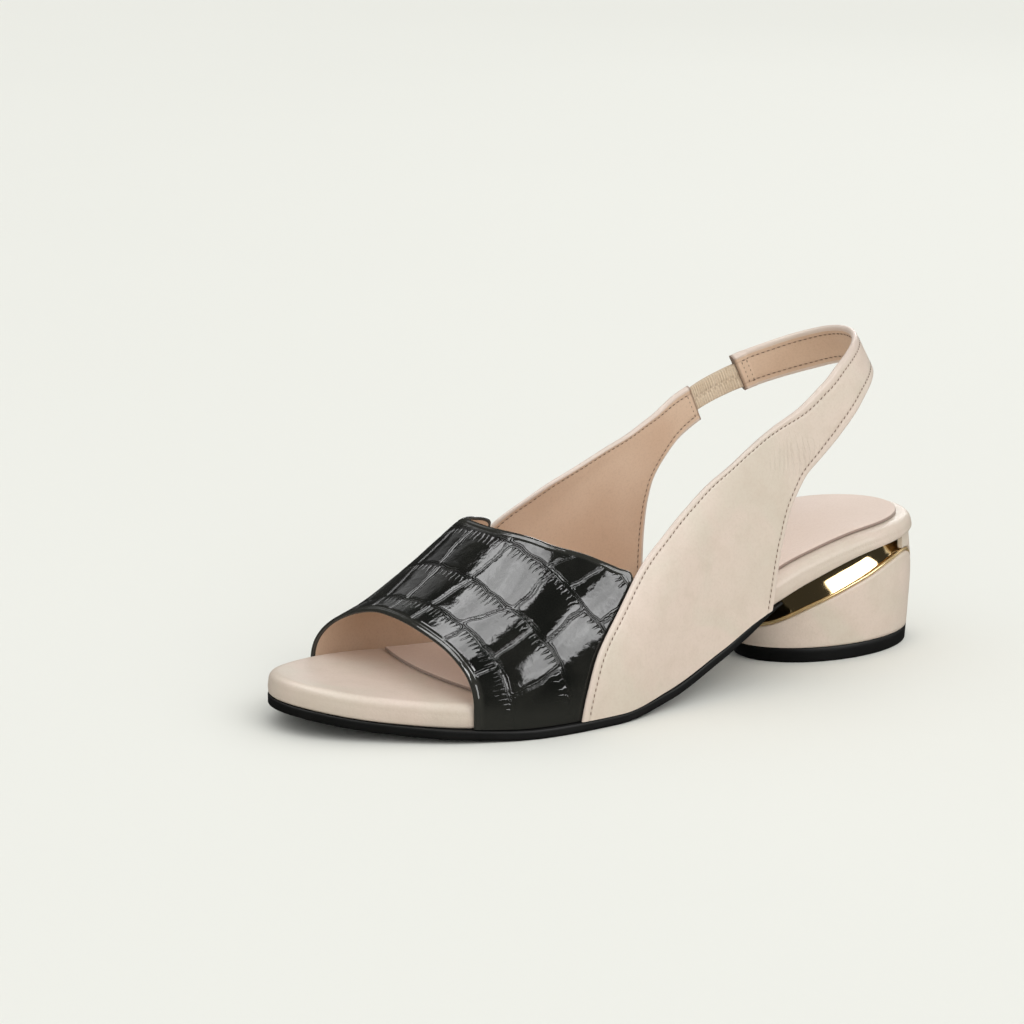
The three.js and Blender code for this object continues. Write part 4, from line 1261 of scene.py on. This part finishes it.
def spine_place(u, row):
    depth, up = SPINE_SECTION[row].T
    turn = SPINE_TURN + (1 - SPINE_TURN) * 2 * u
    near = np.where(turn > 1, 2 - turn, turn)
    bottom = bead_height(near, 2 * BEAD_RADIUS + 3 * GAP)
    z = bottom + (seat_under(near) - bottom) * up
    return heel_point(turn, z, SHELL_RIM * depth)


def gold_plating(name, metallic, roughness):
    """Gold plating with faint waves, its tone a little uneven"""
    material, wire, feed = new_finish(name, Metallic=metallic)
    warm = wire.noise(40.0, 2.0).step(0.3, 0.7)
    feed("Base Color", warm.blend((0.86, 0.66, 0.36, 1), (0.80, 0.58, 0.28, 1)))
    feed("Roughness", roughness + wire.noise(500.0, 3.0) * 0.05)
    feed("Normal", wire.bump(wire.noise(90.0, 1.0), 0.35, 0.25 * MM))
    return material


heel_shell = lay_grid("heel_cover", NUDE, 160, len(SHELL_ROWS) - 1, shell_place)
settle(heel_shell, "nude_leather", "heel_shell")
POLISHED_GOLD = gold_plating("polished_gold", 1.0, 0.035)
heel_core = lay_grid("heel_gold_core", POLISHED_GOLD, 200, CORE_ROWS, core_place)
settle(heel_core, "gold_metal", "heel_core")
SATIN_GOLD = gold_plating("satin_gold", 0.6, 0.2)
heel_bead = lay_grid("heel_gold_bead", SATIN_GOLD, 240, BEAD_SIDES, bead_place)
settle(heel_bead, "gold_metal", "heel_bead")
heel_spine = lay_grid("heel_spine_cover", NUDE, 60, len(SPINE_SECTION) - 1, spine_place)
settle(heel_spine, "nude_leather", "heel_spine")


# Top lift: a black rubber plate under the heel, trimmed to its oval.
LIFT_BEVEL = 0.4 * MM
LIFT_ROWS = np.array(
    [(0.0, 0.8 * MM, 1.0), (0.0, 0.8 * MM, 0.5), (0.0, LIFT_BEVEL, 0.0), (0.12 * MM, 0.12 * MM, 0.0)]
    + [(t * LIFT_HEIGHT, 0.0, 0.0) for t in (0.08, 0.35, 0.65, 0.95)]
    + [(LIFT_HEIGHT, 0.25 * MM, 0.0), (LIFT_HEIGHT, 0.8 * MM, 0.0), (LIFT_HEIGHT, 0.8 * MM, 1.0)]
)


def lift_place(u, row):
    z, inset, pulled = LIFT_ROWS[row].T
    return pull_in(heel_point(2 * u - 1, z, inset), pulled)


top_lift = lay_grid("heel_top_lift", RUBBER, 160, len(LIFT_ROWS) - 1, lift_place)
settle(top_lift, "sole_rubber", "top_lift")


# Studio: a pale seamless floor under two broad soft lights, six softboxes that only gloss
# mirrors, a dim pale world, and the camera at the three-quarter view from the toe.
SOFTBOX_DISTANCE = 2.6
AIM_HEIGHT = 0.04
CAMERA_AZIMUTH = math.radians(56.02)
CAMERA_ELEVATION = math.radians(13.47)
CAMERA_DISTANCE = 1.05755
CAMERA_TARGET = Vector((MIDDLE_X + 41.59 * MM, AXIS_Y, 64.66 * MM))
CAMERA_LENS = 113.68


def direction(azimuth, elevation):
    level = math.cos(elevation)
    return Vector((level * math.cos(azimuth), level * math.sin(azimuth), math.sin(elevation)))


def add_camera():
    data = bpy.data.cameras.new("camera")
    data.lens = CAMERA_LENS
    data.sensor_width = 36
    data.clip_start, data.clip_end = 0.05, 100
    camera = bpy.data.objects.new("camera", data)
    back = direction(CAMERA_AZIMUTH, CAMERA_ELEVATION)
    camera.location = CAMERA_TARGET + back * CAMERA_DISTANCE
    camera.rotation_euler = (-back).to_track_quat("-Z", "Y").to_euler()
    bpy.context.scene.collection.objects.link(camera)
    bpy.context.scene.camera = camera


def add_lamp(name, kind, azimuth, elevation, distance):
    """A light that faces the shoe from a direction given in degrees"""
    data = bpy.data.lights.new(name, kind)
    lamp = bpy.data.objects.new(name, data)
    back = direction(math.radians(azimuth), math.radians(elevation))
    lamp.location = Vector((0, 0, AIM_HEIGHT)) + back * distance
    lamp.rotation_euler = (-back).to_track_quat("-Z", "Y").to_euler()
    bpy.context.scene.collection.objects.link(lamp)
    return lamp


def add_sky(name, azimuth, elevation, spread, strength, color):
    """A broad even light that casts soft shadows and is not mirrored in the gloss"""
    lamp = add_lamp(name, "SUN", azimuth, elevation, 3)
    lamp.data.angle = math.radians(spread)
    lamp.data.energy = strength
    lamp.data.color = color
    lamp.visible_glossy = False


def add_softbox(name, azimuth, elevation, size, glow, fade=0.43):
    """A panel that is only seen mirrored in gloss. It fades from this share of its size."""
    lamp = add_lamp(name, "AREA", azimuth, elevation, SOFTBOX_DISTANCE)
    lamp.data.shape = "RECTANGLE"
    lamp.data.size, lamp.data.size_y = size
    lamp.data.energy = glow * math.pi * size[0] * size[1]
    lamp.data.use_nodes = True
    wire = Wire(lamp.data.node_tree)
    spot = wire.node("NewGeometry", output=5)
    offset = wire.node("VectorMath", {"operation": "SUBTRACT"}, {0: spot, 1: (0.5, 0.5, 0)})
    aside = wire.node("VectorMath", {"operation": "ABSOLUTE"}, {0: offset})
    across, up = wire.node("SeparateXYZ", {}, {0: aside}), wire.node("SeparateXYZ", {}, {0: aside}, 1)
    from_middle = wire.math("SMOOTH_MAX", across, up, 0.15)
    clouds = wire.node("TexNoise", {}, {"Vector": spot, "Scale": 4.0, "Detail": 3.0})
    soft = (1.0 - from_middle.step(fade, 0.5)) * (0.25 + clouds * 1.5)
    emission = lamp.data.node_tree.nodes["Emission"]
    lamp.data.node_tree.links.new(soft.socket, emission.inputs["Strength"])
    lamp.visible_diffuse = False


def add_floor():
    shape = bmesh.new()
    bmesh.ops.create_grid(shape, x_segments=8, y_segments=8, size=30)
    material, wire, feed = new_finish("pale_floor", Roughness=0.9, Specular_IOR_Level=0.1)
    feed("Base Color", wire.noise(2.0, 2.0).blend((0.825, 0.83, 0.785, 1), (0.84, 0.845, 0.80, 1)))
    floor = add_piece("floor", shape, material)
    floor.visible_glossy = False


def light_world():
    world = bpy.data.worlds.new("pale_room")
    world.use_nodes = True
    background = world.node_tree.nodes["Background"]
    background.inputs["Color"].default_value = (0.97, 0.98, 0.96, 1)
    background.inputs["Strength"].default_value = 0.04
    bpy.context.scene.world = world


add_camera()
add_floor()
light_world()
add_sky("room_light", 56, 80, 150, 2.64, (1, 1, 0.985))
add_sky("window_light", 96, 40, 50, 0.86, (1, 0.995, 0.98))
add_softbox("side_softbox", 110, 28, (2.15, 1.65), 6.8)
add_softbox("top_softbox", -36, 66, (1.95, 1.75), 6.4)
add_softbox("far_softbox", -90, 36, (1.3, 1.0), 0.8, 0.1)
add_softbox("toe_softbox", 30, 50, (0.9, 0.9), 12)
add_softbox("back_softbox", -138, 18, (1.1, 0.7), 8)
add_softbox("rear_softbox", 172, 16, (1.4, 1.4), 1.6, 0.2)
bpy.context.scene.view_settings.view_transform = "Standard"
bpy.context.scene.view_settings.look = "None"
